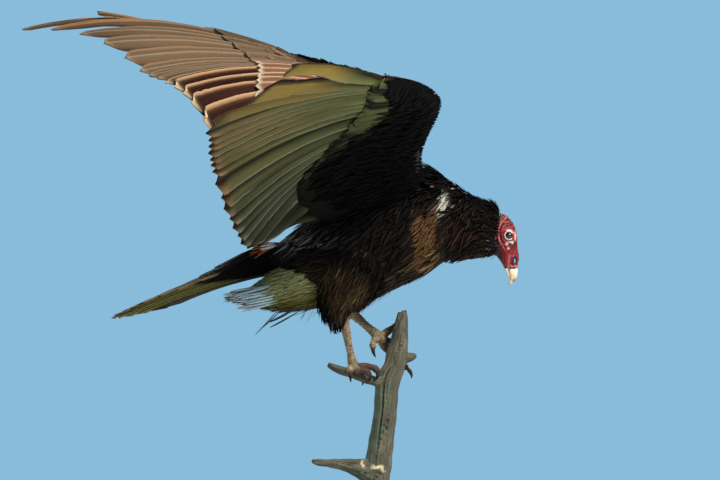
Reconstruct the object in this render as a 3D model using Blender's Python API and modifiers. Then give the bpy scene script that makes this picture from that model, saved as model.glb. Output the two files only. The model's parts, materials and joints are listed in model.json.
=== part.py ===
"""A turkey vulture balancing on the tip of a dead snag with both wings raised, on a plain display stand.

Frame: metres, +Z up, the bird faces +X and its left side is +Y. The origin is the centre of the
stand's underside. The bird is a still model: every solid keeps a thin gap to its neighbours.
"""

import math

import bmesh
import bpy
from mathutils import Matrix, Vector

GAP = 0.0005  # clearance between neighbouring solids
COLLECTION = "vulture"
CUTTERS = "cutters"

# Stand and perch
BASE_LENGTH, BASE_DEPTH, BASE_THICK = 0.320, 0.240, 0.024
BASE_CENTRE_X = 0.0
ROD_RADIUS = 0.006
COLLAR_RADIUS, COLLAR_HEIGHT = 0.014, 0.012
PERCH_BOTTOM = 0.144

# Each stretch of deadwood is a list of (x, y, z, radius), from its thick end to its tip.
TRUNK_WOOD = (
    (0.020, 0.000, PERCH_BOTTOM, 0.0200),
    (0.025, 0.000, 0.180, 0.0195),
    (0.030, 0.000, 0.215, 0.0176),
    (0.036, 0.000, 0.260, 0.0164),
    (0.040, 0.000, 0.300, 0.0172),
    (0.050, 0.000, 0.325, 0.0155),
    (0.055, 0.000, 0.350, 0.0142),
    (0.059, 0.000, 0.375, 0.0105),
    (0.061, 0.000, 0.393, 0.0082),
    (0.061, 0.000, 0.402, 0.0058),
)
TWIG_WOOD = (
    (0.034, 0.000, 0.300, 0.0090),
    (0.010, -0.016, 0.304, 0.0072),
    (-0.022, -0.030, 0.3115, 0.0060),
    (-0.046, -0.037, 0.3190, 0.0058),
    (-0.057, -0.040, 0.3235, 0.0038),
)
KNOB_WOOD = (
    (0.052, 0.000, 0.335, 0.0115),
    (0.068, 0.000, 0.336, 0.0080),
    (0.083, 0.000, 0.340, 0.0036),
)
SIDE_WOOD = (
    (0.022, 0.000, 0.172, 0.0200),
    (-0.006, -0.003, 0.182, 0.0125),
    (-0.032, -0.006, 0.186, 0.0078),
    (-0.058, -0.008, 0.189, 0.0052),
    (-0.072, -0.009, 0.190, 0.0030),
)

# Trunk of the bird: sections across the spine, from the rump to the ruff, as
# (x, y, z, half height, half width, lean in degrees, yaw in degrees).
BODY = (
    (-0.116, 0.000, 0.474, 0.022, 0.028, 14, 0),
    (-0.088, 0.000, 0.468, 0.046, 0.050, 12, 0),
    (-0.044, 0.000, 0.474, 0.071, 0.068, 9, 0),
    (0.012, 0.000, 0.492, 0.078, 0.076, 6, 0),
    (0.064, 0.000, 0.514, 0.077, 0.078, 4, 0),
    (0.104, 0.000, 0.530, 0.074, 0.071, 2, -1),
    (0.134, -0.001, 0.528, 0.058, 0.055, -2, -4),
    (0.162, -0.004, 0.522, 0.048, 0.044, -2, -8),
    (0.182, -0.009, 0.517, 0.041, 0.036, -5, -12),
    (0.195, -0.013, 0.512, 0.034, 0.028, -8, -15),
)
CHEST_SECTION, NECK_SECTION = 3, 6  # where the belly ends, and where the chest ends

# Head, in its own frame: X the way the bill side faces, Z up, seen from the bird's right.
HEAD_POINT = (0.2055, -0.0155, 0.509)
HEAD_YAW = -15.0
HEAD = (  # front x, front z, back x, back z, half width of each section, from the crown to the cere
    (-0.0030, 0.0315, -0.0240, -0.0100, 0.0190),
    (0.0050, 0.0280, -0.0200, -0.0210, 0.0205),
    (0.0130, 0.0180, -0.0145, -0.0260, 0.0200),
    (0.0180, 0.0050, -0.0095, -0.0290, 0.0180),
    (0.0193, -0.0090, -0.0060, -0.0330, 0.0155),
    (0.0202, -0.0200, -0.0032, -0.0370, 0.0125),
    (0.0217, -0.0290, -0.0012, -0.0405, 0.0100),
    (0.0212, -0.0370, 0.0004, -0.0435, 0.0082),
    (0.0196, -0.0450, 0.0016, -0.0460, 0.0070),
)
BILL = (
    (0.0196, -0.0458, 0.0052, -0.0480, 0.0064),
    (0.0198, -0.0515, 0.0072, -0.0535, 0.0058),
    (0.0189, -0.0575, 0.0086, -0.0585, 0.0050),
    (0.0158, -0.0635, 0.0086, -0.0620, 0.0040),
    (0.0105, -0.0678, 0.0072, -0.0645, 0.0026),
    (0.0045, -0.0680, 0.0050, -0.0668, 0.0008),
)
MANDIBLE = (
    (0.0044, -0.0478, 0.0016, -0.0470, 0.0052),
    (0.0064, -0.0536, 0.0038, -0.0530, 0.0042),
    (0.0078, -0.0592, 0.0062, -0.0590, 0.0022),
)
EYE_POINT = (0.0069, -0.0010)
EYE_RADIUS = 0.0058
NOSTRIL_POINT, NOSTRIL_HALF = (0.0158, -0.0350), (0.0015, 0.0045)

# Tail: twelve feathers that fan from the rump, pitched down and rolled so that the right edge is up,
# far more at the root, where they lie close, than at the tip.
TAIL_ROOT, TAIL_TIP = (-0.106, 0.000, 0.478), (-0.352, -0.004, 0.389)
TAIL_FEATHERS = 12
TAIL_ROOT_ROLL, TAIL_ROLL = 58.0, 11.0
TAIL_HALF_ROOT, TAIL_ROOT_SHIFT = 0.024, 0.006
TAIL_HALF_TIP, TAIL_SHIFT = 0.047, 0.010
TAIL_LENGTHS = ((0, 0.44), (1.5, 0.62), (3, 0.78), (5, 0.96), (7, 1.0), (9, 0.92), (11, 0.74), (12, 0.60))
VENT = (
    (-0.070, 0.000, 0.438, 0.042, 0.046, 25, 0),
    (-0.104, 0.000, 0.428, 0.036, 0.044, 25, 0),
    (-0.134, 0.000, 0.420, 0.026, 0.036, 20, 0),
    (-0.164, 0.000, 0.416, 0.014, 0.024, 14, 0),
    (-0.186, 0.000, 0.415, 0.005, 0.012, 10, 0),
)

# Legs: (x, y, z, radius) down the feathered thigh, and the bare shank.
THIGHS = {
    "right": ((-0.012, -0.034, 0.464, 0.046), (-0.034, -0.043, 0.434, 0.042), (-0.046, -0.047, 0.404, 0.030),
              (-0.046, -0.048, 0.378, 0.0150)),
    "left": ((0.022, 0.034, 0.470, 0.044), (0.010, 0.043, 0.442, 0.038), (0.000, 0.046, 0.418, 0.026),
             (-0.006, 0.045, 0.403, 0.0145)),
}
SHANKS = {
    "right": ((-0.0385, -0.0475, 0.394, 0.0088), (-0.0325, -0.044, 0.372, 0.0066),
              (-0.0255, -0.040, 0.344, 0.0050), (-0.020, -0.036, 0.3250, 0.0070)),
    "left": ((-0.008, 0.044, 0.406, 0.0088), (0.006, 0.036, 0.393, 0.0066), (0.019, 0.026, 0.379, 0.0056),
             (0.030, 0.019, 0.3680, 0.0080)),
}

# Toes: waypoints of the middle line from the ball of the foot to the claw's root.
TOE_RADIUS, TOE_END_RADIUS = 0.0052, 0.0042
CLAW_LENGTH = 0.014
TOES = {
    "right": {
        "hallux": ((-0.021, -0.037, 0.3200), (-0.0255, -0.0405, 0.3180), (-0.0265, -0.0455, 0.3110)),
        "inner": ((-0.016, -0.030, 0.3190), (-0.006, -0.0185, 0.3185), (0.002, -0.0105, 0.3130),
                  (0.003, -0.0085, 0.3080)),
        "middle": ((-0.012, -0.0340, 0.3210), (0.004, -0.0270, 0.3215), (0.015, -0.0250, 0.3190),
                   (0.0185, -0.0260, 0.3125)),
        "outer": ((-0.014, -0.0395, 0.3170), (-0.003, -0.0380, 0.3150), (0.005, -0.0340, 0.3100)),
    },
    "left": {
        "hallux": ((0.027, 0.016, 0.3630), (0.0215, 0.010, 0.3560), (0.0205, 0.007, 0.3480)),
        "inner": ((0.038, 0.0175, 0.3620), (0.048, 0.0225, 0.3600), (0.059, 0.0215, 0.3580),
                  (0.067, 0.0155, 0.3560)),
        "middle": ((0.038, 0.019, 0.3690), (0.049, 0.0195, 0.3760), (0.059, 0.0165, 0.3830),
                   (0.0665, 0.0100, 0.3850)),
        "outer": ((0.036, 0.021, 0.3590), (0.046, 0.0265, 0.3490), (0.061, 0.0250, 0.3350),
                  (0.0755, 0.0145, 0.3190)),
    },
}
CLAW_WAYS = {  # the way each claw leaves its toe
    "right": {"hallux": (0.1, 0.0, -1.0), "inner": (-0.1, 0.2, -1.0), "middle": (-0.5, 0.1, -1.0),
              "outer": (-0.4, 0.1, -1.0)},
    "left": {"hallux": (0.3, -0.1, -1.0), "inner": (0.1, -1.0, -0.4), "middle": (-0.1, -0.6, -1.0),
             "outer": (0.25, -0.4, -1.0)},
}

# Wings. Stations run along the wing from the body to its tip: the tertials as far as the elbow,
# then the secondaries out to the wrist, then the primaries out to the end of the hand.
ELBOW_AT, WRIST_AT, HAND_AT = 4, 18, 28
TERTIALS, SECONDARIES, PRIMARIES = 3, 8, 10
WINGS = {
    "right": {
        "roots": ((0, (0.030, -0.040, 0.548)), (4, (-0.048, -0.137, 0.606)), (11, (-0.011, -0.197, 0.635)),
                  (18, (0.024, -0.254, 0.660)), (23, (-0.014, -0.304, 0.670)), (28, (-0.051, -0.348, 0.673))),
        "lead": ((0, (0.084, -0.046, 0.574)), (4, (0.057, -0.118, 0.605)), (9, (0.051, -0.168, 0.627)),
                 (14, (0.050, -0.222, 0.650)), (18, (0.042, -0.262, 0.668)), (20, (0.018, -0.288, 0.680)),
                 (23, (-0.020, -0.326, 0.683)), (28, (-0.064, -0.362, 0.679))),
        "tips": ((0.5, (-0.108, -0.036, 0.520)), (1.5, (-0.128, -0.049, 0.504)),
                 (2.5, (-0.150, -0.059, 0.490)), (4.5, (-0.180, -0.076, 0.475)),
                 (8.5, (-0.202, -0.104, 0.491)), (13.5, (-0.231, -0.158, 0.518)),
                 (18.5, (-0.270, -0.250, 0.558)), (21.5, (-0.295, -0.343, 0.574)),
                 (23.5, (-0.320, -0.451, 0.578)), (25.5, (-0.341, -0.540, 0.588)),
                 (26.5, (-0.322, -0.566, 0.606)), (27.5, (-0.238, -0.531, 0.662)),
                 (28, (-0.226, -0.534, 0.668))),
        "bow": ((0, -0.010), (1, -0.002), (4, 0.018), (18, 0.024), (24, 0.018), (28, 0.010)),
        "coverts": ((0, 0.60), (4, 0.48), (9, 0.40), (14, 0.33), (18, 0.28), (22, 0.20), (28, 0.12)),
    },
    "left": {
        "roots": ((0, (0.030, 0.040, 0.550)), (4, (0.010, 0.128, 0.640)), (11, (0.052, 0.172, 0.692)),
                  (18, (0.084, 0.216, 0.742)), (23, (0.036, 0.256, 0.768)), (28, (-0.018, 0.294, 0.784))),
        "lead": ((0, (0.092, 0.046, 0.584)), (4, (0.100, 0.104, 0.650)), (9, (0.104, 0.144, 0.694)),
                 (14, (0.106, 0.186, 0.732)), (18, (0.100, 0.220, 0.754)), (20, (0.078, 0.240, 0.766)),
                 (23, (0.036, 0.270, 0.780)), (28, (-0.022, 0.300, 0.794))),
        "tips": ((0.5, (-0.104, 0.050, 0.536)), (4.5, (-0.126, 0.118, 0.572)),
                 (8.5, (-0.163, 0.155, 0.628)), (13.5, (-0.200, 0.191, 0.704)),
                 (18.5, (-0.228, 0.247, 0.746)), (21.5, (-0.255, 0.299, 0.769)),
                 (23.5, (-0.293, 0.362, 0.815)), (24.5, (-0.327, 0.400, 0.836)),
                 (25.5, (-0.357, 0.428, 0.845)), (26.5, (-0.403, 0.470, 0.849)),
                 (27.5, (-0.306, 0.423, 0.872)), (28, (-0.290, 0.425, 0.876))),
        "bow": ((0, -0.010), (1, 0.000), (4, 0.024), (18, 0.028), (22, 0.020), (24.5, 0.026), (26.5, 0.042),
                (27.5, 0.013), (28, 0.007)),
        "coverts": ((0, 0.60), (4, 0.55), (14, 0.54), (18, 0.50), (22, 0.40), (28, 0.22)),
    },
}
COVERT_THICK = ((0, 0.022), (4, 0.019), (18, 0.012), (28, 0.005))
ARM_RINGS = {"upper_arm": (0.1, 1, 2, 3, 3.9), "forearm": (4.1, 6, 8, 10, 12, 14, 16, 17.9),
             "hand": (18.1, 20, 22, 24, 25, 26, 26.5, 27, 27.5, 27.9)}
SHEET_THICK = 0.0012
FEATHER_RIDGE = 0.0016


def clear_scene():
    for obj in list(bpy.data.objects):
        bpy.data.objects.remove(obj)


def collection(name):
    made = bpy.data.collections.new(name)
    bpy.context.scene.collection.children.link(made)
    return made


def material(name, colour, roughness, metallic=0.0):
    made = bpy.data.materials.new(name)
    made.use_nodes = True
    shader = made.node_tree.nodes["Principled BSDF"]
    shader.inputs["Base Color"].default_value = (*colour, 1.0)
    shader.inputs["Roughness"].default_value = roughness
    shader.inputs["Metallic"].default_value = metallic
    made.diffuse_color = (*colour, 1.0)
    return made


def add_object(name, bm, finish, into, smooth=True):
    bmesh.ops.recalc_face_normals(bm, faces=bm.faces)
    mesh = bpy.data.meshes.new(name)
    bm.to_mesh(mesh)
    bm.free()
    if smooth:
        mesh.shade_smooth()
        mesh.set_sharp_from_angle(angle=math.radians(40))
    obj = bpy.data.objects.new(name, mesh)
    into.objects.link(obj)
    if finish:
        mesh.materials.append(finish)
    return obj


def as_cutter(obj):
    obj.hide_render = True
    obj.display_type = "WIRE"
    return obj


def blend(keys, at):
    """Smooth value at a station, from (station, value) keys, where a value is a number or a vector."""
    keys = [(s, Vector(v) if isinstance(v, (tuple, Vector)) else v) for s, v in keys]
    at = min(max(at, keys[0][0]), keys[-1][0])
    k = max(i for i in range(len(keys) - 1) if keys[i][0] <= at)
    (s0, p0), (s1, p1) = keys[k], keys[k + 1]
    before = keys[k - 1] if k else (2 * s0 - s1, 2 * p0 - p1)
    after = keys[k + 2] if k + 2 < len(keys) else (2 * s1 - s0, 2 * p1 - p0)
    u, span = (at - s0) / (s1 - s0), s1 - s0
    slope0 = (p1 - before[1]) * (span / (s1 - before[0]))
    slope1 = (after[1] - p0) * (span / (after[0] - s0))
    return (p0 * (2 * u**3 - 3 * u**2 + 1) + slope0 * (u**3 - 2 * u**2 + u)
            + p1 * (3 * u**2 - 2 * u**3) + slope1 * (u**3 - u**2))


def loft(rings):
    """Closed bmesh through rings of equally many points, with ends filled in strips across the ring."""
    bm = bmesh.new()
    loops = [[bm.verts.new(p) for p in ring] for ring in rings]
    count = len(loops[0])
    for near, far in zip(loops, loops[1:]):
        for i in range(count):
            j = (i + 1) % count
            bm.faces.new((near[i], near[j], far[j], far[i]))
    for loop, last in ((loops[0], False), (loops[-1], True)):
        for i in range((count - 1) // 2 + 1):
            corners = [loop[i], loop[i + 1], loop[(count - i - 1) % count], loop[(count - i) % count]]
            corners = list(dict.fromkeys(corners))
            if len(corners) > 2:
                bm.faces.new(list(reversed(corners)) if last else corners)
    return bm


def oval(centre, side, up, half_width, half_height, count, square=2.2):
    """Ring of points on a superellipse across the side and up directions."""
    points = []
    for i in range(count):
        turn = 2 * math.pi * i / count
        c, s = math.cos(turn), math.sin(turn)
        x = math.copysign(abs(s) ** (2 / square), s) * half_width
        z = math.copysign(abs(c) ** (2 / square), c) * half_height
        points.append(centre + side * x + up * z)
    return points


def body_ring(section, grow=0.0, count=20):
    x, y, z, half_height, half_width, lean, yaw = section
    turn = Matrix.Rotation(math.radians(yaw), 3, "Z") @ Matrix.Rotation(math.radians(-lean), 3, "Y")
    return oval(Vector((x, y, z)), turn @ Vector((0, 1, 0)), turn @ Vector((0, 0, 1)),
                half_width + grow, half_height + grow, count)


def between(first, second, share):
    return tuple(a + (b - a) * share for a, b in zip(first, second))


def fine(sections, steps=2):
    """The same sections with smooth ones put between them."""
    keys = [[(k, section[i]) for k, section in enumerate(sections)] for i in range(len(sections[0]))]
    last = (len(sections) - 1) * steps
    return [tuple(blend(column, k / steps) for column in keys) for k in range(last + 1)]


def body_part(name, sections, finish, into, trim_start=False, trim_end=False):
    """A length of the body, with its ends drawn back so that it clears the next one."""
    sections = fine(sections)
    if trim_start:
        sections[0] = between(sections[0], sections[1], 0.04)
    if trim_end:
        sections[-1] = between(sections[-1], sections[-2], 0.04)
    return add_object(name, loft([body_ring(s) for s in sections]), finish, into)


def frames_along(points):
    """(point, side, up) down a path, carried along so that rings don't twist."""
    frames = []
    up = None
    for i, point in enumerate(points):
        way = (points[min(i + 1, len(points) - 1)] - points[max(i - 1, 0)]).normalized()
        if up is None:
            up = Vector((0, 0, 1)) if abs(way.z) < 0.8 else Vector((1, 0, 0))
        side = way.cross(up).normalized()
        up = side.cross(way).normalized()
        frames.append((point, side, up))
    return frames


def limb(points, count=12, steps=3):
    """Rings of a round limb from (x, y, z, radius) waypoints, smoothed between them."""
    keys = [(k, Vector(p[:3])) for k, p in enumerate(points)]
    radii = [(k, p[3]) for k, p in enumerate(points)]
    stops = [k / steps for k in range((len(points) - 1) * steps + 1)]
    path = [blend(keys, s) for s in stops]
    return [oval(point, side, up, blend(radii, s), blend(radii, s), count, square=2.0)
            for (point, side, up), s in zip(frames_along(path), stops)]


def boolean(obj, other, operation="DIFFERENCE"):
    modifier = obj.modifiers.new(operation.lower(), "BOOLEAN")
    modifier.operation = operation
    modifier.object = other
    modifier.solver = "EXACT"
    return obj


def make_perch(finish, into, cutters):
    """The snag: trunk, twig under the right foot, knob and side branch, as one piece of deadwood."""
    def wood(name, grow, into):
        trunk = None
        for suffix, points in (("trunk", TRUNK_WOOD), ("twig", TWIG_WOOD), ("knob", KNOB_WOOD),
                               ("side", SIDE_WOOD)):
            grown = [(*p[:3], p[3] + grow) for p in points]
            sides, steps = (11, 2) if suffix == "trunk" else (8, 1)
            piece = add_object(f"{name}_{suffix}", loft(limb(grown, sides, steps)), None, into)
            if trunk is None:
                trunk = piece
            else:
                boolean(trunk, as_cutter(piece), "UNION")
        return trunk

    grown = as_cutter(wood("grown", GAP, cutters))
    perch = wood("wood", 0.0, cutters)
    cutters.objects.unlink(perch)
    into.objects.link(perch)
    perch.name = "perch"
    perch.data.materials.append(finish)
    cut = bmesh.new()
    bmesh.ops.create_cube(cut, size=1.0, matrix=Matrix.Translation((0, 0, PERCH_BOTTOM - 0.5 + 0.002)))
    boolean(perch, as_cutter(add_object("floor_cut", cut, None, cutters)))
    return grown


def make_stand(wood, steel, into):
    bm = bmesh.new()
    bmesh.ops.create_cube(bm, size=1.0, matrix=Matrix.Diagonal((BASE_LENGTH, BASE_DEPTH, BASE_THICK, 1)))
    bmesh.ops.translate(bm, verts=bm.verts, vec=(BASE_CENTRE_X, 0, BASE_THICK / 2))
    upright = [e for e in bm.edges if abs(e.verts[0].co.z - e.verts[1].co.z) > BASE_THICK / 2]
    bmesh.ops.bevel(bm, geom=upright, offset=0.030, offset_type="OFFSET", segments=5, profile=0.5,
                    affect="EDGES", material=-1)
    rim = [e for e in bm.edges if min(v.co.z for v in e.verts) > BASE_THICK - 1e-5]
    bmesh.ops.bevel(bm, geom=rim, offset=0.003, offset_type="OFFSET", segments=2, profile=0.5,
                    affect="EDGES", material=-1)
    add_object("stand_base", bm, wood, into)
    x, y = TRUNK_WOOD[0][0], TRUNK_WOOD[0][1]
    low, high = BASE_THICK + GAP, PERCH_BOTTOM + 0.002 - GAP
    collar_top = low + COLLAR_HEIGHT
    for name, radius, foot, top in (("stand_collar", COLLAR_RADIUS, low, collar_top),
                                    ("stand_rod", ROD_RADIUS, collar_top + GAP, high)):
        bm = bmesh.new()
        bmesh.ops.create_cone(bm, cap_ends=True, segments=20, radius1=radius, radius2=radius,
                              depth=top - foot, matrix=Matrix.Translation((x, y, (foot + top) / 2)))
        add_object(name, bm, steel, into)


def head_rings(sections, count=12):
    rings = []
    for front_x, front_z, back_x, back_z, half_width in sections:
        front, back = head_place(front_x, 0, front_z), head_place(back_x, 0, back_z)
        side = Matrix.Rotation(math.radians(HEAD_YAW), 3, "Z") @ Vector((0, 1, 0))
        half = (front - back) / 2
        rings.append(oval(back + half, side, half.normalized(), half_width, half.length, count))
    return rings


def head_place(x, y, z):
    return Vector(HEAD_POINT) + Matrix.Rotation(math.radians(HEAD_YAW), 3, "Z") @ Vector((x, y, z))


def make_head(skin, horn, eye, into, cutters, body):
    head = add_object("head", loft(head_rings(fine(HEAD))), skin, into)
    boolean(head, body)
    for side, sign in (("right", -1), ("left", 1)):
        centre = head_place(EYE_POINT[0], sign * 0.0145, EYE_POINT[1])
        for name, radius, where, finish in ((f"eye_{side}", EYE_RADIUS, into, eye),
                                            (f"socket_{side}", EYE_RADIUS + GAP, cutters, None)):
            bm = bmesh.new()
            bmesh.ops.create_uvsphere(bm, u_segments=12, v_segments=6, radius=radius,
                                      matrix=Matrix.Translation(centre))
            made = add_object(name, bm, finish, where)
            if where is cutters:
                boolean(head, as_cutter(made))
    bm = bmesh.new()
    bmesh.ops.create_cone(bm, cap_ends=True, segments=8, radius1=1.0, radius2=1.0, depth=0.05)
    bmesh.ops.scale(bm, verts=bm.verts, vec=(NOSTRIL_HALF[0], NOSTRIL_HALF[1], 1.0))
    bmesh.ops.rotate(bm, verts=bm.verts, matrix=Matrix.Rotation(math.radians(90), 3, "X"))
    bmesh.ops.rotate(bm, verts=bm.verts, matrix=Matrix.Rotation(math.radians(HEAD_YAW), 3, "Z"))
    bmesh.ops.translate(bm, verts=bm.verts, vec=head_place(NOSTRIL_POINT[0], 0, NOSTRIL_POINT[1]))
    boolean(head, as_cutter(add_object("nostril", bm, None, cutters)))
    add_object("bill_upper", loft(head_rings(BILL, 10)), horn, into)
    add_object("bill_lower", loft(head_rings(MANDIBLE, 8)), horn, into)


def make_body(feathers, down, into, cutters):
    grown = as_cutter(add_object("grown_body", loft([body_ring(s, GAP) for s in fine(BODY)]), None, cutters))
    body_part("belly", BODY[:CHEST_SECTION + 1], feathers, into, trim_end=True)
    body_part("chest", BODY[CHEST_SECTION:NECK_SECTION + 1], feathers, into, trim_end=True)
    body_part("neck", BODY[NECK_SECTION:], feathers, into)
    vent = add_object("vent", loft([body_ring(s, 0, 16) for s in fine(VENT)]), down, into)
    boolean(vent, grown)
    for side in ("right", "left"):
        thigh = [(*p[:3], p[3] + GAP) for p in THIGHS[side]]
        grown_thigh = add_object(f"grown_thigh_{side}", loft(limb(thigh, count=14, steps=2)), None, cutters)
        boolean(vent, as_cutter(grown_thigh))
    grown_vent = add_object("grown_vent", loft([body_ring(s, GAP, 16) for s in fine(VENT)]), None, cutters)
    return grown, as_cutter(grown_vent)


def make_legs(trousers, skin, horn, into, cutters, body, wood):
    for side in ("right", "left"):
        thigh = add_object(f"thigh_{side}", loft(limb(THIGHS[side], count=14, steps=2)), trousers, into)
        boolean(thigh, body)
        shank = add_object(f"shank_{side}", loft(limb(SHANKS[side], count=10, steps=2)), skin, into)
        boolean(shank, wood)
        grown_shank = [(*p[:3], p[3] + GAP) for p in SHANKS[side]]
        grown = loft(limb(grown_shank, count=10, steps=2))
        knuckle = as_cutter(add_object(f"grown_shank_{side}", grown, None, cutters))
        boolean(thigh, knuckle)
        neighbours = [knuckle, wood]
        for toe, way in TOES[side].items():
            radii = [TOE_RADIUS + (TOE_END_RADIUS - TOE_RADIUS) * k / (len(way) - 1) for k in range(len(way))]
            rings = limb([(*p, r) for p, r in zip(way, radii)], 8, 2)
            piece = add_object(f"toe_{side}_{toe}", loft(rings), skin, into)
            for neighbour in neighbours:
                boolean(piece, neighbour)
            rings = limb([(*p, r + GAP) for p, r in zip(way, radii)], 8, 2)
            neighbours.append(as_cutter(add_object(f"grown_toe_{side}_{toe}", loft(rings), None, cutters)))
            make_claw(f"claw_{side}_{toe}", way, CLAW_WAYS[side][toe], horn, into, wood)


def make_claw(name, toe, way, horn, into, wood):
    """A hooked claw that starts just past its toe and bends the given way."""
    start = Vector(toe[-1])
    along = (start - Vector(toe[-2])).normalized()
    way = Vector(way).normalized()
    points = []
    for k in range(5):
        share = k / 4
        bend = (along * (1 - share) + way * share).normalized()
        point = start + along * GAP * 1.6 + bend * CLAW_LENGTH * share
        points.append((*point, TOE_END_RADIUS * 0.72 * (1 - share) ** 0.8 + 0.0006))
    claw = add_object(name, loft(limb(points, count=7, steps=1)), horn, into)
    boolean(claw, wood)


class Surface:
    """The vane surface of a wing or tail: a point for each station along it and share of the feather."""

    def __init__(self, roots, tips, bow, dorsal):
        self.roots, self.tips, self.bow, self.dorsal = roots, tips, bow, Vector(dorsal)

    def point(self, station, share):
        root, tip = blend(self.roots, station), blend(self.tips, station)
        return root.lerp(tip, share) + self.dorsal * (4 * blend(self.bow, station) * share * (1 - share))

    def normal(self, station, share):
        along = self.point(station, share + 0.02) - self.point(station, share - 0.02)
        across = self.point(station + 0.2, share) - self.point(station - 0.2, share)
        normal = along.cross(across).normalized()
        return normal if normal.dot(self.dorsal) > 0 else -normal


def sheet(bm, surface, first, last, count, start, notch, tip_shape, rows, free_rows, ridge=FEATHER_RIDGE):
    """Adjoining feathers, count of them from station first to last: an open sheet that parts into tips.

    start and notch give, for a station, the share of the feather where the sheet begins and parts."""
    def vert(station, share, lift=0.0):
        return bm.verts.new(surface.point(station, share) + surface.normal(station, share) * lift)

    def seam(station):
        begin, parts_at = start(station), notch(station)
        return [vert(station, begin + (parts_at - begin) * j / rows) for j in range(rows + 1)]

    wide = (last - first) / count
    bounds = [first + wide * k for k in range(count + 1)]
    seams = [seam(first + 0.08)] + [seam(at) for at in bounds[1:-1]] + [seam(last - 0.08)]
    for k in range(count):
        middle = (bounds[k] + bounds[k + 1]) / 2
        left, right = list(seams[k]), list(seams[k + 1])
        begin, parts_at = start(middle), (notch(bounds[k]) + notch(bounds[k + 1])) / 2
        centre = [vert(middle, begin + (parts_at - begin) * j / rows, ridge) for j in range(rows + 1)]
        for g in range(1, free_rows + 1):
            share = g / free_rows
            half = 0.5 * wide * tip_shape(middle, share)
            centre.append(vert(middle, parts_at + (1 - parts_at) * share, ridge * (1 - share)))
            reach = (1 - 0.25 * share) * share
            for edge, sign in ((left, -1), (right, 1)):
                station = middle + sign * half
                edge_notch = notch(bounds[k] if sign < 0 else bounds[k + 1])
                edge.append(vert(station, edge_notch + (1 - edge_notch) * reach))
        for j in range(rows + free_rows):
            bm.faces.new((left[j], centre[j], centre[j + 1], left[j + 1]))
            bm.faces.new((centre[j], right[j], right[j + 1], centre[j + 1]))


def add_sheet(name, bm, finish, into):
    obj = add_object(name, bm, finish, into)
    thick = obj.modifiers.new("thickness", "SOLIDIFY")
    thick.thickness = SHEET_THICK
    thick.offset = 0.0
    return obj


def covert_ring(surface, wing, station):
    """Closed section across the wing at one station: leading edge, thick arm, thin trailing edge."""
    lead = blend(wing["lead"], station)
    share = blend(wing["coverts"], station)
    trail = surface.point(station, share) - surface.point(station, share - 0.02)
    end = surface.point(station, share) - trail.normalized() * (4 * GAP + SHEET_THICK)
    root = surface.point(station, share * 0.2)
    normal = surface.normal(station, share * 0.5)
    thick = blend(COVERT_THICK, station)
    upper, lower = [], []
    for part, depth in ((0.0, 0.0), (0.05, 0.60), (0.2, 1.0), (0.45, 0.80), (0.75, 0.38), (1.0, 0.10)):
        straight = lead.lerp(end, part)
        through = lead.lerp(root, part / 0.4) if part < 0.4 else root.lerp(end, (part - 0.4) / 0.6)
        middle = straight.lerp(through, 0.75)
        upper.append(middle + normal * thick * depth)
        if part > 0:
            lower.append(middle - normal * thick * depth * 0.8)
    return upper + list(reversed(lower))


def make_wing(side, coverts, flight, into, body):
    wing = WINGS[side]
    surface = Surface(wing["roots"], wing["tips"], wing["bow"], (0, 0, 1))
    for part, stations in ARM_RINGS.items():
        rings = [covert_ring(surface, wing, s) for s in stations]
        arm = add_object(f"wing_{side}_{part}", loft(rings), coverts, into)
        boolean(arm, body)

    def start(station):
        return blend(wing["coverts"], station)

    def short_notch(station):
        return 0.965

    def finger_notch(station):
        notches = ((WRIST_AT, 0.965), (WRIST_AT + 4, 0.94), (WRIST_AT + 6, 0.72), (HAND_AT, 0.62))
        return blend(notches, station)

    def blunt(station, share):
        return 1.0 - 0.45 * share**2

    def finger(station, share):
        slim = blend(((WRIST_AT, 0.0), (WRIST_AT + 5, 0.0), (WRIST_AT + 7, 0.5), (HAND_AT, 0.6)), station)
        return (1.0 - 0.55 * share**2) * (1 - slim * min(1.0, 2.5 * share))

    for part, first, last, count, notch, shape, rows, free_rows in (
        ("tertials", 0, ELBOW_AT, TERTIALS, short_notch, blunt, 2, 1),
        ("secondaries", ELBOW_AT, WRIST_AT, SECONDARIES, short_notch, blunt, 3, 2),
        ("primaries", WRIST_AT, HAND_AT, PRIMARIES, finger_notch, finger, 3, 3),
    ):
        bm = bmesh.new()
        sheet(bm, surface, first, last, count, start, notch, shape, rows, free_rows)
        boolean(add_sheet(f"wing_{side}_{part}", bm, flight, into), body)


def make_tail(flight, into, body, vent):
    root, tip = Vector(TAIL_ROOT), Vector(TAIL_TIP)
    way = (tip - root).normalized()
    root_across, across = [Matrix.Rotation(math.radians(roll), 3, way) @ Vector((0, 1, 0))
                           for roll in (TAIL_ROOT_ROLL, TAIL_ROLL)]
    dorsal = across.cross(way).normalized()
    dorsal = dorsal if dorsal.z > 0 else -dorsal
    half = TAIL_FEATHERS / 2
    roots = [(k, root + root_across * (TAIL_HALF_ROOT * (k / half - 1) + TAIL_ROOT_SHIFT))
             for k in (0, half, TAIL_FEATHERS)]
    tips = []
    for station, share in TAIL_LENGTHS:
        off = TAIL_HALF_TIP * (station / half - 1) + TAIL_SHIFT
        tips.append((station, root + (tip - root) * share + across * off - dorsal * 2.0 * off * off))
    surface = Surface(roots, tips, ((0, 0.006), (TAIL_FEATHERS, 0.006)), dorsal)
    bm = bmesh.new()
    sheet(bm, surface, 0, TAIL_FEATHERS, TAIL_FEATHERS, lambda s: 0.02, lambda s: 0.955,
          lambda s, share: 1 - 0.5 * share**2, rows=2, free_rows=1)
    tail = boolean(add_sheet("tail", bm, flight, into), body)
    boolean(tail, vent)


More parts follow.
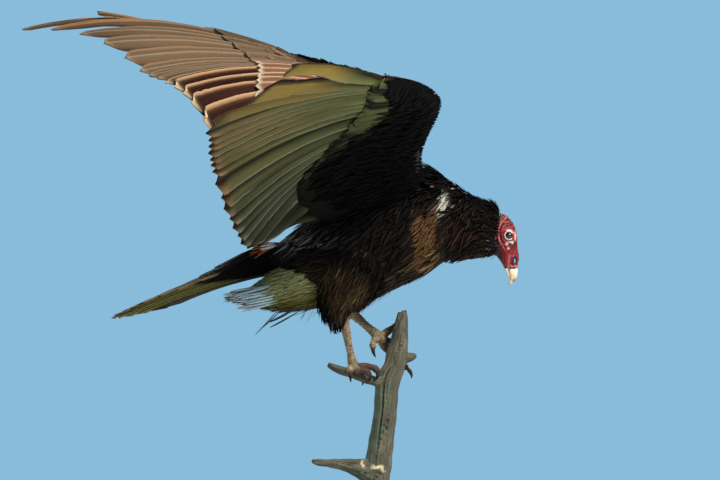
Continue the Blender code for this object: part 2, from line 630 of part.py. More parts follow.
def main():
    clear_scene()
    parts, cutters = collection(COLLECTION), collection(CUTTERS)
    cutters.hide_render = True
    finishes = {
        "plumage": material("plumage", (0.035, 0.026, 0.022), 0.7),
        "coverts": material("coverts", (0.045, 0.032, 0.025), 0.7),
        "flight": material("flight_feathers", (0.22, 0.20, 0.15), 0.6),
        "down": material("pale_down", (0.42, 0.40, 0.28), 0.85),
        "skin": material("red_skin", (0.55, 0.06, 0.07), 0.5),
        "leg": material("leg_skin", (0.52, 0.38, 0.32), 0.6),
        "bill": material("ivory_bill", (0.80, 0.68, 0.48), 0.4),
        "claw": material("claw_horn", (0.03, 0.028, 0.03), 0.35),
        "eye": material("eye", (0.03, 0.02, 0.015), 0.1),
        "wood": material("deadwood", (0.30, 0.30, 0.23), 0.85),
        "base": material("stand_wood", (0.05, 0.04, 0.035), 0.5),
        "steel": material("stand_steel", (0.55, 0.55, 0.56), 0.3, 1.0),
    }
    make_stand(finishes["base"], finishes["steel"], parts)
    wood = make_perch(finishes["wood"], parts, cutters)
    body, vent = make_body(finishes["plumage"], finishes["down"], parts, cutters)
    make_head(finishes["skin"], finishes["bill"], finishes["eye"], parts, cutters, body)
    make_legs(finishes["plumage"], finishes["leg"], finishes["claw"], parts, cutters, body, wood)
    make_tail(finishes["flight"], parts, body, vent)
    for side in ("right", "left"):
        make_wing(side, finishes["coverts"], finishes["flight"], parts, body)


main()
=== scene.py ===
"""Looks for the turkey vulture on its snag: skin, coat of feathers, horn, eyes, deadwood and stand."""
import json
import math

import bmesh
import bpy
import numpy as np
from mathutils import Matrix, Vector

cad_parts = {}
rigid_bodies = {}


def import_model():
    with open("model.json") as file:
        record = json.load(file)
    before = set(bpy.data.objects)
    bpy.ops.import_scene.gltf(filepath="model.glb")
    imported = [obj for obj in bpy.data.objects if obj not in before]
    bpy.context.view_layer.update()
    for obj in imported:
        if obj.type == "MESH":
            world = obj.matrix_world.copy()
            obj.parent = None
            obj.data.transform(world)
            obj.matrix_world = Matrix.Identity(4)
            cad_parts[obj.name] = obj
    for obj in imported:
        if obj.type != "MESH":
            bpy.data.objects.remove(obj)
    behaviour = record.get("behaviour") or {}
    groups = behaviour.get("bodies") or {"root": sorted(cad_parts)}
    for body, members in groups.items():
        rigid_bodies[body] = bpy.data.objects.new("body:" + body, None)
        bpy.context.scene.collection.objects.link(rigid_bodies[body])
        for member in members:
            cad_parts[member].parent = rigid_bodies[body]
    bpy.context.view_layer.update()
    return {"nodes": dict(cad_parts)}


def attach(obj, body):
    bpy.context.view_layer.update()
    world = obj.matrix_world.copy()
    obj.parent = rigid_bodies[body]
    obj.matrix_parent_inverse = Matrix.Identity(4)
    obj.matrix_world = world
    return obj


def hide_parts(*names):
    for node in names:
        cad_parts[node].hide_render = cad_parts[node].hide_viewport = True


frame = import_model()
NODES = frame["nodes"]
SIDES = (("right", -1), ("left", 1))

# ---------------------------------------------------------------- sizes, in metres, as in the solids
TRUNK_WOOD = ((0.020, 0, 0.144, 0.0200), (0.025, 0, 0.180, 0.0195), (0.030, 0, 0.215, 0.0176),
              (0.036, 0, 0.260, 0.0164), (0.040, 0, 0.300, 0.0172), (0.050, 0, 0.325, 0.0155),
              (0.055, 0, 0.350, 0.0142), (0.059, 0, 0.375, 0.0105), (0.061, 0, 0.393, 0.0082),
              (0.061, 0, 0.402, 0.0058))
TWIG_WOOD = ((0.034, 0, 0.300, 0.0090), (0.010, -0.016, 0.304, 0.0072), (-0.022, -0.030, 0.3115, 0.0060),
             (-0.046, -0.037, 0.3190, 0.0058), (-0.057, -0.040, 0.3235, 0.0038))
KNOB_WOOD = ((0.052, 0, 0.335, 0.0115), (0.068, 0, 0.336, 0.0080), (0.083, 0, 0.340, 0.0036))
SIDE_WOOD = ((0.022, 0, 0.172, 0.0200), (-0.006, -0.003, 0.182, 0.0125), (-0.032, -0.006, 0.186, 0.0078),
             (-0.058, -0.008, 0.189, 0.0052), (-0.072, -0.009, 0.190, 0.0030))
WOOD_CUT = 0.146  # the perch's sawn lower end

# Trunk of the bird: x, y, z, half height, half width, lean and yaw in degrees, from rump to ruff.
BODY = ((-0.116, 0, 0.474, 0.022, 0.028, 14, 0), (-0.088, 0, 0.468, 0.046, 0.050, 12, 0),
        (-0.044, 0, 0.474, 0.071, 0.068, 9, 0), (0.012, 0, 0.492, 0.078, 0.076, 6, 0),
        (0.064, 0, 0.514, 0.077, 0.078, 4, 0), (0.104, 0, 0.530, 0.074, 0.071, 2, -1),
        (0.134, -0.001, 0.528, 0.058, 0.055, -2, -4), (0.162, -0.004, 0.522, 0.048, 0.044, -2, -8),
        (0.182, -0.009, 0.517, 0.041, 0.036, -5, -12), (0.195, -0.013, 0.512, 0.034, 0.028, -8, -15))
VENT = ((-0.070, 0, 0.438, 0.042, 0.046, 25, 0), (-0.104, 0, 0.428, 0.036, 0.044, 25, 0),
        (-0.134, 0, 0.420, 0.026, 0.036, 20, 0), (-0.164, 0, 0.416, 0.014, 0.024, 14, 0),
        (-0.186, 0, 0.415, 0.005, 0.012, 10, 0))

# Head, in its own frame: X ahead, Z up. Front x, front z, back x, back z and half width of each section.
HEAD_POINT, HEAD_YAW = (0.2055, -0.0155, 0.509), -15.0
HEAD = ((-0.0030, 0.0315, -0.0240, -0.0100, 0.0190), (0.0050, 0.0280, -0.0200, -0.0210, 0.0205),
        (0.0130, 0.0180, -0.0145, -0.0260, 0.0200), (0.0180, 0.0050, -0.0095, -0.0290, 0.0180),
        (0.0193, -0.0090, -0.0060, -0.0330, 0.0155), (0.0202, -0.0200, -0.0032, -0.0370, 0.0125),
        (0.0217, -0.0290, -0.0012, -0.0405, 0.0100), (0.0212, -0.0370, 0.0004, -0.0435, 0.0082),
        (0.0196, -0.0450, 0.0016, -0.0460, 0.0070))
BILL = ((0.0196, -0.0458, 0.0052, -0.0480, 0.0064), (0.0198, -0.0515, 0.0072, -0.0535, 0.0058),
        (0.0189, -0.0575, 0.0086, -0.0585, 0.0050), (0.0158, -0.0635, 0.0086, -0.0620, 0.0040),
        (0.0105, -0.0678, 0.0072, -0.0645, 0.0026), (0.0045, -0.0680, 0.0050, -0.0668, 0.0008))
MANDIBLE = ((0.0044, -0.0478, 0.0016, -0.0470, 0.0052), (0.0064, -0.0536, 0.0038, -0.0530, 0.0042),
            (0.0078, -0.0592, 0.0062, -0.0590, 0.0022))
EYE_POINT, EYE_RADIUS, EYE_ASIDE = (0.0069, -0.0010), 0.0055, 0.0134
NOSTRIL_POINT, NOSTRIL_HALF = (0.0158, -0.0350), (0.0015, 0.0045)

# Tail
TAIL_ROOT, TAIL_TIP = (-0.106, 0, 0.478), (-0.352, -0.004, 0.389)
TAIL_FEATHERS, TAIL_ROOT_ROLL, TAIL_ROLL = 12, 58.0, 11.0
TAIL_HALF_ROOT, TAIL_ROOT_SHIFT, TAIL_HALF_TIP, TAIL_SHIFT = 0.024, 0.006, 0.047, 0.010
TAIL_LENGTHS = ((0, 0.44), (1.5, 0.62), (3, 0.78), (5, 0.96), (7, 1.0), (9, 0.92), (11, 0.74), (12, 0.60))

# Legs: x, y, z, radius down each thigh, shank and toe.
THIGHS = {"right": ((-0.012, -0.034, 0.464, 0.046), (-0.034, -0.043, 0.434, 0.042),
                    (-0.046, -0.047, 0.404, 0.030), (-0.046, -0.048, 0.378, 0.0150)),
          "left": ((0.022, 0.034, 0.470, 0.044), (0.010, 0.043, 0.442, 0.038), (0.000, 0.046, 0.418, 0.026),
                   (-0.006, 0.045, 0.403, 0.0145))}
SHANKS = {"right": ((-0.0385, -0.0475, 0.394, 0.0088), (-0.0325, -0.044, 0.372, 0.0066),
                    (-0.0255, -0.040, 0.344, 0.0050), (-0.020, -0.036, 0.3250, 0.0070)),
          "left": ((-0.008, 0.044, 0.406, 0.0088), (0.006, 0.036, 0.393, 0.0066),
                   (0.019, 0.026, 0.379, 0.0056), (0.030, 0.019, 0.3680, 0.0080))}
TOE_RADIUS, TOE_END_RADIUS, CLAW_LENGTH = 0.0052, 0.0042, 0.014
TOES = {
    "right": {"hallux": ((-0.021, -0.037, 0.3200), (-0.0255, -0.0405, 0.3180), (-0.0265, -0.0455, 0.3110)),
              "inner": ((-0.016, -0.030, 0.3190), (-0.006, -0.0185, 0.3185), (0.002, -0.0105, 0.3130),
                        (0.003, -0.0085, 0.3080)),
              "middle": ((-0.012, -0.0340, 0.3210), (0.004, -0.0270, 0.3215), (0.015, -0.0250, 0.3190),
                         (0.0185, -0.0260, 0.3125)),
              "outer": ((-0.014, -0.0395, 0.3170), (-0.003, -0.0380, 0.3150), (0.005, -0.0340, 0.3100))},
    "left": {"hallux": ((0.027, 0.016, 0.3630), (0.0215, 0.010, 0.3560), (0.0205, 0.007, 0.3480)),
             "inner": ((0.038, 0.0175, 0.3620), (0.048, 0.0225, 0.3600), (0.059, 0.0215, 0.3580),
                       (0.067, 0.0155, 0.3560)),
             "middle": ((0.038, 0.019, 0.3690), (0.049, 0.0195, 0.3760), (0.059, 0.0165, 0.3830),
                        (0.0665, 0.0100, 0.3850)),
             "outer": ((0.036, 0.021, 0.3590), (0.046, 0.0265, 0.3490), (0.061, 0.0250, 0.3350),
                       (0.0755, 0.0145, 0.3190))}}
CLAW_WAYS = {"right": {"hallux": (0.1, 0, -1), "inner": (-0.1, 0.2, -1), "middle": (-0.5, 0.1, -1),
                       "outer": (-0.4, 0.1, -1)},
             "left": {"hallux": (0.3, -0.1, -1), "inner": (0.1, -1, -0.4), "middle": (-0.1, -0.6, -1),
                      "outer": (0.25, -0.4, -1)}}

# Wings: stations run from the body to the tip. The feathers are evenly spaced from joint to joint.
TERTIALS, SECONDARIES, PRIMARIES = 3, 8, 10
ELBOW, WRIST, HAND_END = 4, 18, 28
WINGS = {"right": {
    "roots": ((0, (0.030, -0.040, 0.548)), (4, (-0.048, -0.137, 0.606)), (11, (-0.011, -0.197, 0.635)),
              (18, (0.024, -0.254, 0.660)), (23, (-0.014, -0.304, 0.670)), (28, (-0.051, -0.348, 0.673))),
    "lead": ((0, (0.084, -0.046, 0.574)), (4, (0.057, -0.118, 0.605)), (9, (0.051, -0.168, 0.627)),
             (14, (0.050, -0.222, 0.650)), (18, (0.042, -0.262, 0.668)), (20, (0.018, -0.288, 0.680)),
             (23, (-0.020, -0.326, 0.683)), (28, (-0.064, -0.362, 0.679))),
    "tips": ((0.5, (-0.108, -0.036, 0.520)), (1.5, (-0.128, -0.049, 0.504)), (2.5, (-0.150, -0.059, 0.490)),
             (4.5, (-0.180, -0.076, 0.475)), (8.5, (-0.202, -0.104, 0.491)), (13.5, (-0.231, -0.158, 0.518)),
             (18.5, (-0.270, -0.250, 0.558)), (21.5, (-0.295, -0.343, 0.574)),
             (23.5, (-0.320, -0.451, 0.578)),
             (25.5, (-0.341, -0.540, 0.588)), (26.5, (-0.322, -0.566, 0.606)),
             (27.5, (-0.238, -0.531, 0.662)), (28, (-0.226, -0.534, 0.668))),
    "bow": ((0, -0.010), (1, -0.002), (4, 0.018), (18, 0.024), (24, 0.018), (28, 0.010)),
    "coverts": ((0, 0.60), (4, 0.48), (9, 0.40), (14, 0.33), (18, 0.28), (22, 0.20), (28, 0.12))},
    "left": {
    "roots": ((0, (0.030, 0.040, 0.550)), (4, (0.010, 0.128, 0.640)), (11, (0.052, 0.172, 0.692)),
              (18, (0.084, 0.216, 0.742)), (23, (0.036, 0.256, 0.768)), (28, (-0.018, 0.294, 0.784))),
    "lead": ((0, (0.092, 0.046, 0.584)), (4, (0.100, 0.104, 0.650)), (9, (0.104, 0.144, 0.694)),
             (14, (0.106, 0.186, 0.732)), (18, (0.100, 0.220, 0.754)), (20, (0.078, 0.240, 0.766)),
             (23, (0.036, 0.270, 0.780)), (28, (-0.022, 0.300, 0.794))),
    "tips": ((0.5, (-0.104, 0.050, 0.536)), (4.5, (-0.126, 0.118, 0.572)), (8.5, (-0.163, 0.155, 0.628)),
             (13.5, (-0.200, 0.191, 0.704)), (18.5, (-0.228, 0.247, 0.746)), (21.5, (-0.255, 0.299, 0.769)),
             (23.5, (-0.293, 0.362, 0.815)), (24.5, (-0.327, 0.400, 0.836)), (25.5, (-0.357, 0.428, 0.845)),
             (26.5, (-0.403, 0.470, 0.849)), (27.5, (-0.306, 0.423, 0.872)), (28, (-0.290, 0.425, 0.876))),
    "bow": ((0, -0.010), (1, 0.000), (4, 0.024), (18, 0.028), (22, 0.020), (24.5, 0.026), (26.5, 0.042),
            (27.5, 0.013), (28, 0.007)),
    "coverts": ((0, 0.60), (4, 0.55), (14, 0.54), (18, 0.50), (22, 0.40), (28, 0.22))}}
COVERT_THICK = ((0, 0.022), (4, 0.019), (18, 0.012), (28, 0.005))
GREATER_ABOVE = {"right": ((0, 0.80), (4, 0.66), (9, 0.56), (14, 0.48), (18, 0.42), (22, 0.34), (28, 0.24)),
                 "left": ((0, 0.82), (4, 0.78), (8.5, 0.76), (13.5, 0.65), (18.5, 0.57), (22, 0.48),
                          (28, 0.32))}
REACH = {"right": ((18, 1.0), (25.4, 1.0), (25.6, 0.99), (26.4, 0.90), (26.7, 0.90), (27.4, 0.995),
                   (28, 0.995)),
         "left": ((18, 1.0), (28, 1.0))}
LEAN = {"right": ((18, 0.0), (25.8, 0.0), (26.6, 0.38), (27.4, 0.10), (28, 0.0)),
        "left": ((18, 0.0), (28, 0.0))}
# How much the primaries narrow towards their tips, and from which share of their length.
FINGERS = {"right": (((18, 0.0), (24, 0.10), (26, 0.35), (28, 0.60)),
                     ((18, 0.85), (24, 0.70), (26, 0.45), (28, 0.12))),
           "left": (((18, 0.0), (23, 0.10), (25, 0.50), (28, 0.62)), ((18, 0.85), (23, 0.70), (28, 0.50)))}
GREATER_BELOW = 1.18  # how far the greater coverts below reach, as a share of the covert area

# The skin that carries the ruff behind the head: ahead, up and radius in the head's frame.
NAPE = ((-0.030, 0.002, 0.026), (-0.012, 0.004, 0.021), (-0.002, 0.004, 0.016))

# How finely the fused skins are meshed, and how many feathers one piece holds at most
BODY_VOXEL, HEAD_VOXEL, FEET_VOXEL, WOOD_VOXEL = 0.0042, 0.00084, 0.0013, 0.0013
PIECE_FEATHERS = 4800
TRUNK_DEPTH, VENT_DEPTH, THIGH_DEPTH = 0.009, 0.008, 0.006  # how far the skin lies under the coat's roots
ARM_SKIN = 0.48  # thickness of a wing's skin, as a share of the arm's
SCUTES, TOE_SCUTES, HEAD_FOLDS = 0.0042, 0.0034, 0.0021  # spacing of the scales and of the head's wrinkles
PUPIL_EDGE, IRIS_EDGE = (20, 24), (34, 38)  # degrees from the middle of the eye

# Camera and lights: each light has its place, size, power and colour.
CAMERA_PLACE, CAMERA_AIM, CAMERA_LENS, CAMERA_SENSOR = (-1.238, -4.619, 0.082), (0, 0, 0.50), 171.43, 36.0
LIGHTS_AIM = (0, 0, 0.6)
LIGHTS = (("key", (1.5, -2.4, 3.4), 1.0, 270, (1.0, 0.94, 0.84)),
          ("fill", (-2.6, -2.8, 0.9), 2.4, 26, (1.0, 0.97, 0.90)),
          ("back", (-1.0, 2.6, 2.6), 1.6, 60, (1.0, 0.95, 0.88)))

# ---------------------------------------------------------------- colours
BLACK = np.array((0.0035, 0.0030, 0.0030))
SOOT = np.array((0.0065, 0.0052, 0.0048))
CREAM = np.array((0.66, 0.56, 0.40))
WHITE = np.array((0.72, 0.68, 0.58))


# ---------------------------------------------------------------- curves and surfaces
def blend(keys, at):
    """Smooth value at a station, from (station, value) keys, where a value is a number or a vector."""
    keys = [(s, Vector(v) if isinstance(v, (tuple, Vector)) else v) for s, v in keys]
    at = min(max(at, keys[0][0]), keys[-1][0])
    k = max(i for i in range(len(keys) - 1) if keys[i][0] <= at)
    (s0, p0), (s1, p1) = keys[k], keys[k + 1]
    before = keys[k - 1] if k else (2 * s0 - s1, 2 * p0 - p1)
    after = keys[k + 2] if k + 2 < len(keys) else (2 * s1 - s0, 2 * p1 - p0)
    u, span = (at - s0) / (s1 - s0), s1 - s0
    slope0 = (p1 - before[1]) * (span / (s1 - before[0]))
    slope1 = (after[1] - p0) * (span / (after[0] - s0))
    return (p0 * (2 * u**3 - 3 * u**2 + 1) + slope0 * (u**3 - 2 * u**2 + u)
            + p1 * (3 * u**2 - 2 * u**3) + slope1 * (u**3 - u**2))


def unit(vectors):
    return vectors / np.maximum(np.linalg.norm(vectors, axis=-1, keepdims=True), 1e-12)


def mix(a, b, share):
    a, b = np.asarray(a), np.asarray(b)
    return a + (b - a) * share


def layered(colour, layers, mask_of=lambda mask: mask):
    """The colour with each (colour, mask) laid over it in turn."""
    for over, mask in layers:
        colour = mix(colour, over, mask_of(mask))
    return colour


def in_range(colour, low=0.003):
    return np.clip(colour, low, 0.95)


def soft_step(low, high, x):
    s = np.clip((x - low) / (high - low), 0, 1)
    return s * s * (3 - 2 * s)


def bump_at(x, centre, width):
    return np.exp(-((x - centre) / width) ** 2)


def smooth_noise(points, size, seed=0):
    """Value noise from -1 to 1 at points (n, 3), with lumps of the given size."""
    q = np.asarray(points, dtype=float) / size + 37.7 * seed
    cell = np.floor(q).astype(np.int64)
    f = q - cell
    f = f * f * (3 - 2 * f)

    def lattice(dx, dy, dz):
        h = (cell[..., 0] + dx) * 73856093 ^ (cell[..., 1] + dy) * 19349663 ^ (cell[..., 2] + dz) * 83492791
        h = (h ^ (h >> 13)) * 1274126177 & 0x7FFFFFFF
        return (h % 65521) / 32760.0 - 1.0

    total = 0.0
    for dx in (0, 1):
        for dy in (0, 1):
            for dz in (0, 1):
                w = (f[..., 0] if dx else 1 - f[..., 0]) * (f[..., 1] if dy else 1 - f[..., 1]) \
                    * (f[..., 2] if dz else 1 - f[..., 2])
                total = total + w * lattice(dx, dy, dz)
    return total


class Tube:
    """A round form as rings along a path. Rows hold centre, side, up, half width and half height."""

    def __init__(self, rows, square=2.0):
        self.rows, self.square = np.array(rows, dtype=float), square
        self.length = float(np.linalg.norm(np.diff(self.rows[:, :3], axis=0), axis=1).sum())

    def row(self, t):
        at = np.clip(t, 0, 1) * (len(self.rows) - 1)
        k = np.minimum(at.astype(int), len(self.rows) - 2)
        f = (at - k)[..., None]
        return self.rows[k] * (1 - f) + self.rows[k + 1] * f

    def point(self, t, turn, grow=0.0):
        row = self.row(t)
        s, c = np.sin(turn), np.cos(turn)
        x = np.sign(s) * np.abs(s) ** (2 / self.square) * (row[..., 9] + grow)
        z = np.sign(c) * np.abs(c) ** (2 / self.square) * (row[..., 10] + grow)
        return row[..., :3] + row[..., 3:6] * x[..., None] + row[..., 6:9] * z[..., None]

    def girt(self, t, turn, girth):
        """Point of the tube where its girth is scaled."""
        centre = self.row(t)[..., :3]
        return centre + (self.point(t, turn) - centre) * girth[..., None]

    def frame(self, t, turn):
        """Point, outward normal and the way down the tube."""
        point = self.point(t, turn)
        along = unit(self.point(t + 0.02, turn) - self.point(t - 0.02, turn))
        around = self.point(t, turn + 0.05) - self.point(t, turn - 0.05)
        normal = unit(np.cross(along, around))
        out = np.sum(normal * (point - self.row(t)[..., :3]), axis=-1, keepdims=True)
        return point, normal * np.where(out < 0, -1, 1), along

    def rings_of(self, spacing, start, end, rng, jitter=0.3):
        """Staggered rows of places on the tube, about spacing apart, as (t, turn)."""
        stops = np.arange(start, end, spacing / self.length)
        ts, turns = [], []
        for i, t in enumerate(stops):
            row = self.row(np.array(t))
            count = max(6, int(2 * math.pi * math.sqrt((row[9]**2 + row[10]**2) / 2) / spacing))
            turn = (np.arange(count) + 0.5 * (i % 2)) * 2 * math.pi / count
            ts.append(np.full(count, t) + rng.uniform(-jitter, jitter, count) * spacing / self.length)
            turns.append(turn + rng.uniform(-jitter, jitter, count) * 2 * math.pi / count)
        return np.concatenate(ts), np.concatenate(turns)


def trunk_tube(sections, steps=8, square=2.2):
    rows = []
    for k in range((len(sections) - 1) * steps + 1):
        x, y, z, high, wide, lean, yaw = [blend([(i, s[j]) for i, s in enumerate(sections)], k / steps)
                                          for j in range(7)]
        turn = Matrix.Rotation(math.radians(yaw), 3, "Z") @ Matrix.Rotation(math.radians(-lean), 3, "Y")
        rows.append((x, y, z, *(turn @ Vector((0, 1, 0))), *(turn @ Vector((0, 0, 1))), wide, high))
    return Tube(rows, square)


def limb_tube(points, steps=6):
    stops = [k / steps for k in range((len(points) - 1) * steps + 1)]
    path = [blend([(i, tuple(p[:3])) for i, p in enumerate(points)], s) for s in stops]
    radii = [blend([(i, p[3]) for i, p in enumerate(points)], s) for s in stops]
    rows, up = [], None
    for i, point in enumerate(path):
        way = (path[min(i + 1, len(path) - 1)] - path[max(i - 1, 0)]).normalized()
        up = (Vector((0, 0, 1)) if abs(way.z) < 0.8 else Vector((1, 0, 0))) if up is None else up
        side = way.cross(up).normalized()
        up = side.cross(way).normalized()
        rows.append((*point, *side, *up, radii[i], radii[i]))
    return Tube(rows)


def head_turn():
    return Matrix.Rotation(math.radians(HEAD_YAW), 3, "Z")


def head_place(x, y, z):
    return Vector(HEAD_POINT) + head_turn() @ Vector((x, y, z))


def in_head(points):
    """Points in the head's own frame: ahead, to its left, up."""
    return (points - np.array(HEAD_POINT)) @ np.array(head_turn())


def head_tube(sections, steps=6, square=2.2):
    rows = []
    for k in range((len(sections) - 1) * steps + 1):
        fx, fz, bx, bz, wide = [blend([(i, s[j]) for i, s in enumerate(sections)], k / steps)
                                for j in range(5)]
        front, back = head_place(fx, 0, fz), head_place(bx, 0, bz)
        half = (front - back) / 2
        rows.append((*(back + half), *(head_turn() @ Vector((0, 1, 0))), *half.normalized(), wide,
                     half.length))
    return Tube(rows, square)


class Fan:
    """The vane surface of a wing or the tail: a point for each station along it and share of the feather."""
    FINE = 12  # points kept for each station

    def __init__(self, roots, tips, bow, dorsal, last):
        self.dorsal = np.array(dorsal, dtype=float)
        stops = [k / self.FINE for k in range(last * self.FINE + 1)]
        self.roots = np.array([tuple(blend(roots, s)) for s in stops])
        self.tips = np.array([tuple(blend(tips, s)) for s in stops])
        self.bow = np.array([[blend(bow, s)] for s in stops])

    def at(self, values, station):
        at = np.clip(station * self.FINE, 0, len(values) - 1)
        k = np.minimum(at.astype(int), len(values) - 2)
        f = (at - k)[..., None]
        return values[k] * (1 - f) + values[k + 1] * f

    def point(self, station, share):
        root, tip = self.at(self.roots, station), self.at(self.tips, station)
        share = share[..., None]
        return root + (tip - root) * share + self.dorsal \
            * (4 * self.at(self.bow, station) * share * (1 - share))

    def normal(self, station, share):
        along = self.point(station, share + 0.02) - self.point(station, share - 0.02)
        across = self.point(station + 0.2, share) - self.point(station - 0.2, share)
        normal = unit(np.cross(along, across))
        return normal * np.where(np.sum(normal * self.dorsal, axis=-1, keepdims=True) < 0, -1, 1)


def wing_fan(side):
    wing = WINGS[side]
    return Fan(wing["roots"], wing["tips"], wing["bow"], (0, 0, 1), HAND_END)


def tail_fan():
    root, tip = Vector(TAIL_ROOT), Vector(TAIL_TIP)
    way = (tip - root).normalized()
    root_across, across = [Matrix.Rotation(math.radians(roll), 3, way) @ Vector((0, 1, 0))
                           for roll in (TAIL_ROOT_ROLL, TAIL_ROLL)]
    dorsal = across.cross(way).normalized()
    dorsal = dorsal if dorsal.z > 0 else -dorsal
    half = TAIL_FEATHERS / 2
    roots = [(k, root + root_across * (TAIL_HALF_ROOT * (k / half - 1) + TAIL_ROOT_SHIFT))
             for k in (0, half, TAIL_FEATHERS)]
    tips = []
    for station, share in TAIL_LENGTHS:
        off = TAIL_HALF_TIP * (station / half - 1) + TAIL_SHIFT
        tips.append((station, root + (tip - root) * share + across * off - dorsal * 2.0 * off * off))
    return Fan(roots, tips, ((0, 0.006), (TAIL_FEATHERS, 0.006)), dorsal, TAIL_FEATHERS)


class Arm:
    """The fleshy arm of a wing with its coverts: a point for each station and part of its chord."""
    PARTS = np.array((0.0, 0.05, 0.2, 0.45, 0.75, 1.0))
    DEPTHS = np.array((0.0, 0.60, 1.0, 0.80, 0.38, 0.10))

    def __init__(self, side, fan):
        wing = WINGS[side]
        stops = np.arange(0, HAND_END + 0.01, 0.25)
        share = np.array([blend(wing["coverts"], s) for s in stops])
        self.lead = np.array([tuple(blend(wing["lead"], s)) for s in stops])
        self.end = fan.point(stops, share)
        self.root = fan.point(stops, share * 0.2)
        self.normal = fan.normal(stops, share * 0.5)
        self.thick = np.array([[blend(COVERT_THICK, s)] for s in stops])

    def point(self, station, part, side, depth_share=1.0):
        """side is 1 above and -1 below; depth_share makes the arm thinner."""
        at = np.clip(station / 0.25, 0, len(self.lead) - 1)
        k = np.minimum(at.astype(int), len(self.lead) - 2)
        f = (at - k)[..., None]
        lead, end, root, normal, thick = [v[k] * (1 - f) + v[k + 1] * f
                                          for v in (self.lead, self.end, self.root, self.normal, self.thick)]
        part = part[..., None]
        straight = lead + (end - lead) * part
        through = np.where(part < 0.4, lead + (root - lead) * part / 0.4,
                           root + (end - root) * (part - 0.4) / 0.6)
        depth = np.interp(part, self.PARTS, self.DEPTHS) * thick * np.where(side > 0, 1.0, 0.8) * depth_share
        return mix(straight, through, 0.75) + normal * depth * side

    def half(self, station, part, side):
        """Half thickness of the arm there."""
        thick = np.interp(station, np.arange(len(self.thick)) * 0.25, self.thick[:, 0])
        return np.interp(part, self.PARTS, self.DEPTHS) * thick * (1.0 if side > 0 else 0.8)

    def frame(self, station, part, side):
        point = self.point(station, part, side)
        along = unit(self.point(station, part + 0.04, side) - self.point(station, part - 0.04, side))
        across = self.point(station + 0.3, part, side) - self.point(station - 0.3, part, side)
        normal = unit(np.cross(along, across))
        base = self.point(station, part, side) - self.point(station, part, -side)
        flip = np.sum(normal * base, axis=-1, keepdims=True)
        return point, normal * np.where(flip < 0, -1, 1), along


# ---------------------------------------------------------------- mesh making
def new_object(name, data):
    obj = bpy.data.objects.new(name, data)
    bpy.context.scene.collection.objects.link(obj)
    return obj


def paint(mesh, colours):
    layer = mesh.color_attributes.new("tint", "FLOAT_COLOR", "POINT")
    with_alpha = np.hstack((colours, np.ones((len(colours), 1))))
    layer.data.foreach_set("color", with_alpha.astype(np.float32).ravel())


def coordinates(mesh):
    flat = np.empty(len(mesh.vertices) * 3, dtype=np.float32)
    mesh.vertices.foreach_get("co", flat)
    return flat.reshape(-1, 3).astype(float)


def put_coordinates(mesh, points):
    mesh.vertices.foreach_set("co", points.astype(np.float32).ravel())
    mesh.update()


def normals(mesh):
    flat = np.empty(len(mesh.vertices) * 3, dtype=np.float32)
    mesh.vertex_normals.foreach_get("vector", flat)
    return flat.reshape(-1, 3).astype(float)


def joined_tubes(name, rings, ends, colours, end_colours, bake, vane=None):
    """One mesh of many small closed forms: rings (n, rows, around, 3) with a pole at both ends (n, 2, 3).

    bake holds each form's patch on the bake map: low corner and size, (n, 4)."""
    n, rows, around = rings.shape[:3]
    size = rows * around + 2
    verts = np.concatenate((rings.reshape(n, -1, 3), ends), axis=1).reshape(-1, 3)
    paints = np.concatenate((colours.reshape(n, -1, 3), end_colours), axis=1).reshape(-1, 3)
    tris, uvs = [], []
    for r in range(rows - 1):
        for j in range(around):
            a, b = r * around + j, r * around + (j + 1) % around
            c, d = a + around, b + around
            u0, u1, v0, v1 = j / around, (j + 1) / around, (r + 1) / (rows + 1), (r + 2) / (rows + 1)
            tris += [(a, b, d), (a, d, c)]
            uvs += [(u0, v0), (u1, v0), (u1, v1), (u0, v0), (u1, v1), (u0, v1)]
    first, last = rows * around, rows * around + 1
    for j in range(around):
        k = (j + 1) % around
        tris.append((first, k, j))
        uvs += [((j + 0.5) / around, 0), ((j + 1) / around, 1 / (rows + 1)), (j / around, 1 / (rows + 1))]
        base = (rows - 1) * around
        tris.append((base + j, base + k, last))
        uvs += [(j / around, rows / (rows + 1)), ((j + 1) / around, rows / (rows + 1)),
                ((j + 0.5) / around, 1)]
    tris, uvs = np.array(tris), np.array(uvs)
    loops = (tris.reshape(1, -1) + np.arange(n)[:, None] * size).ravel()
    mesh = bpy.data.meshes.new(name)
    mesh.vertices.add(len(verts))
    mesh.vertices.foreach_set("co", verts.astype(np.float32).ravel())
    mesh.loops.add(len(loops))
    mesh.loops.foreach_set("vertex_index", loops.astype(np.int32))
    mesh.polygons.add(len(loops) // 3)
    mesh.polygons.foreach_set("loop_start", np.arange(0, len(loops), 3, dtype=np.int32))
    mesh.update(calc_edges=True)
    placed = bake[:, None, :2] + uvs[None] * bake[:, None, 2:]
    layer = mesh.uv_layers.new(name="OFBake")
    layer.data.foreach_set("uv", placed.astype(np.float32).ravel())
    if vane is not None:
        layer = mesh.uv_layers.new(name="vane")
        layer.data.foreach_set("uv", vane.reshape(n * size, 2)[loops].astype(np.float32).ravel())
    paint(mesh, paints)
    return mesh


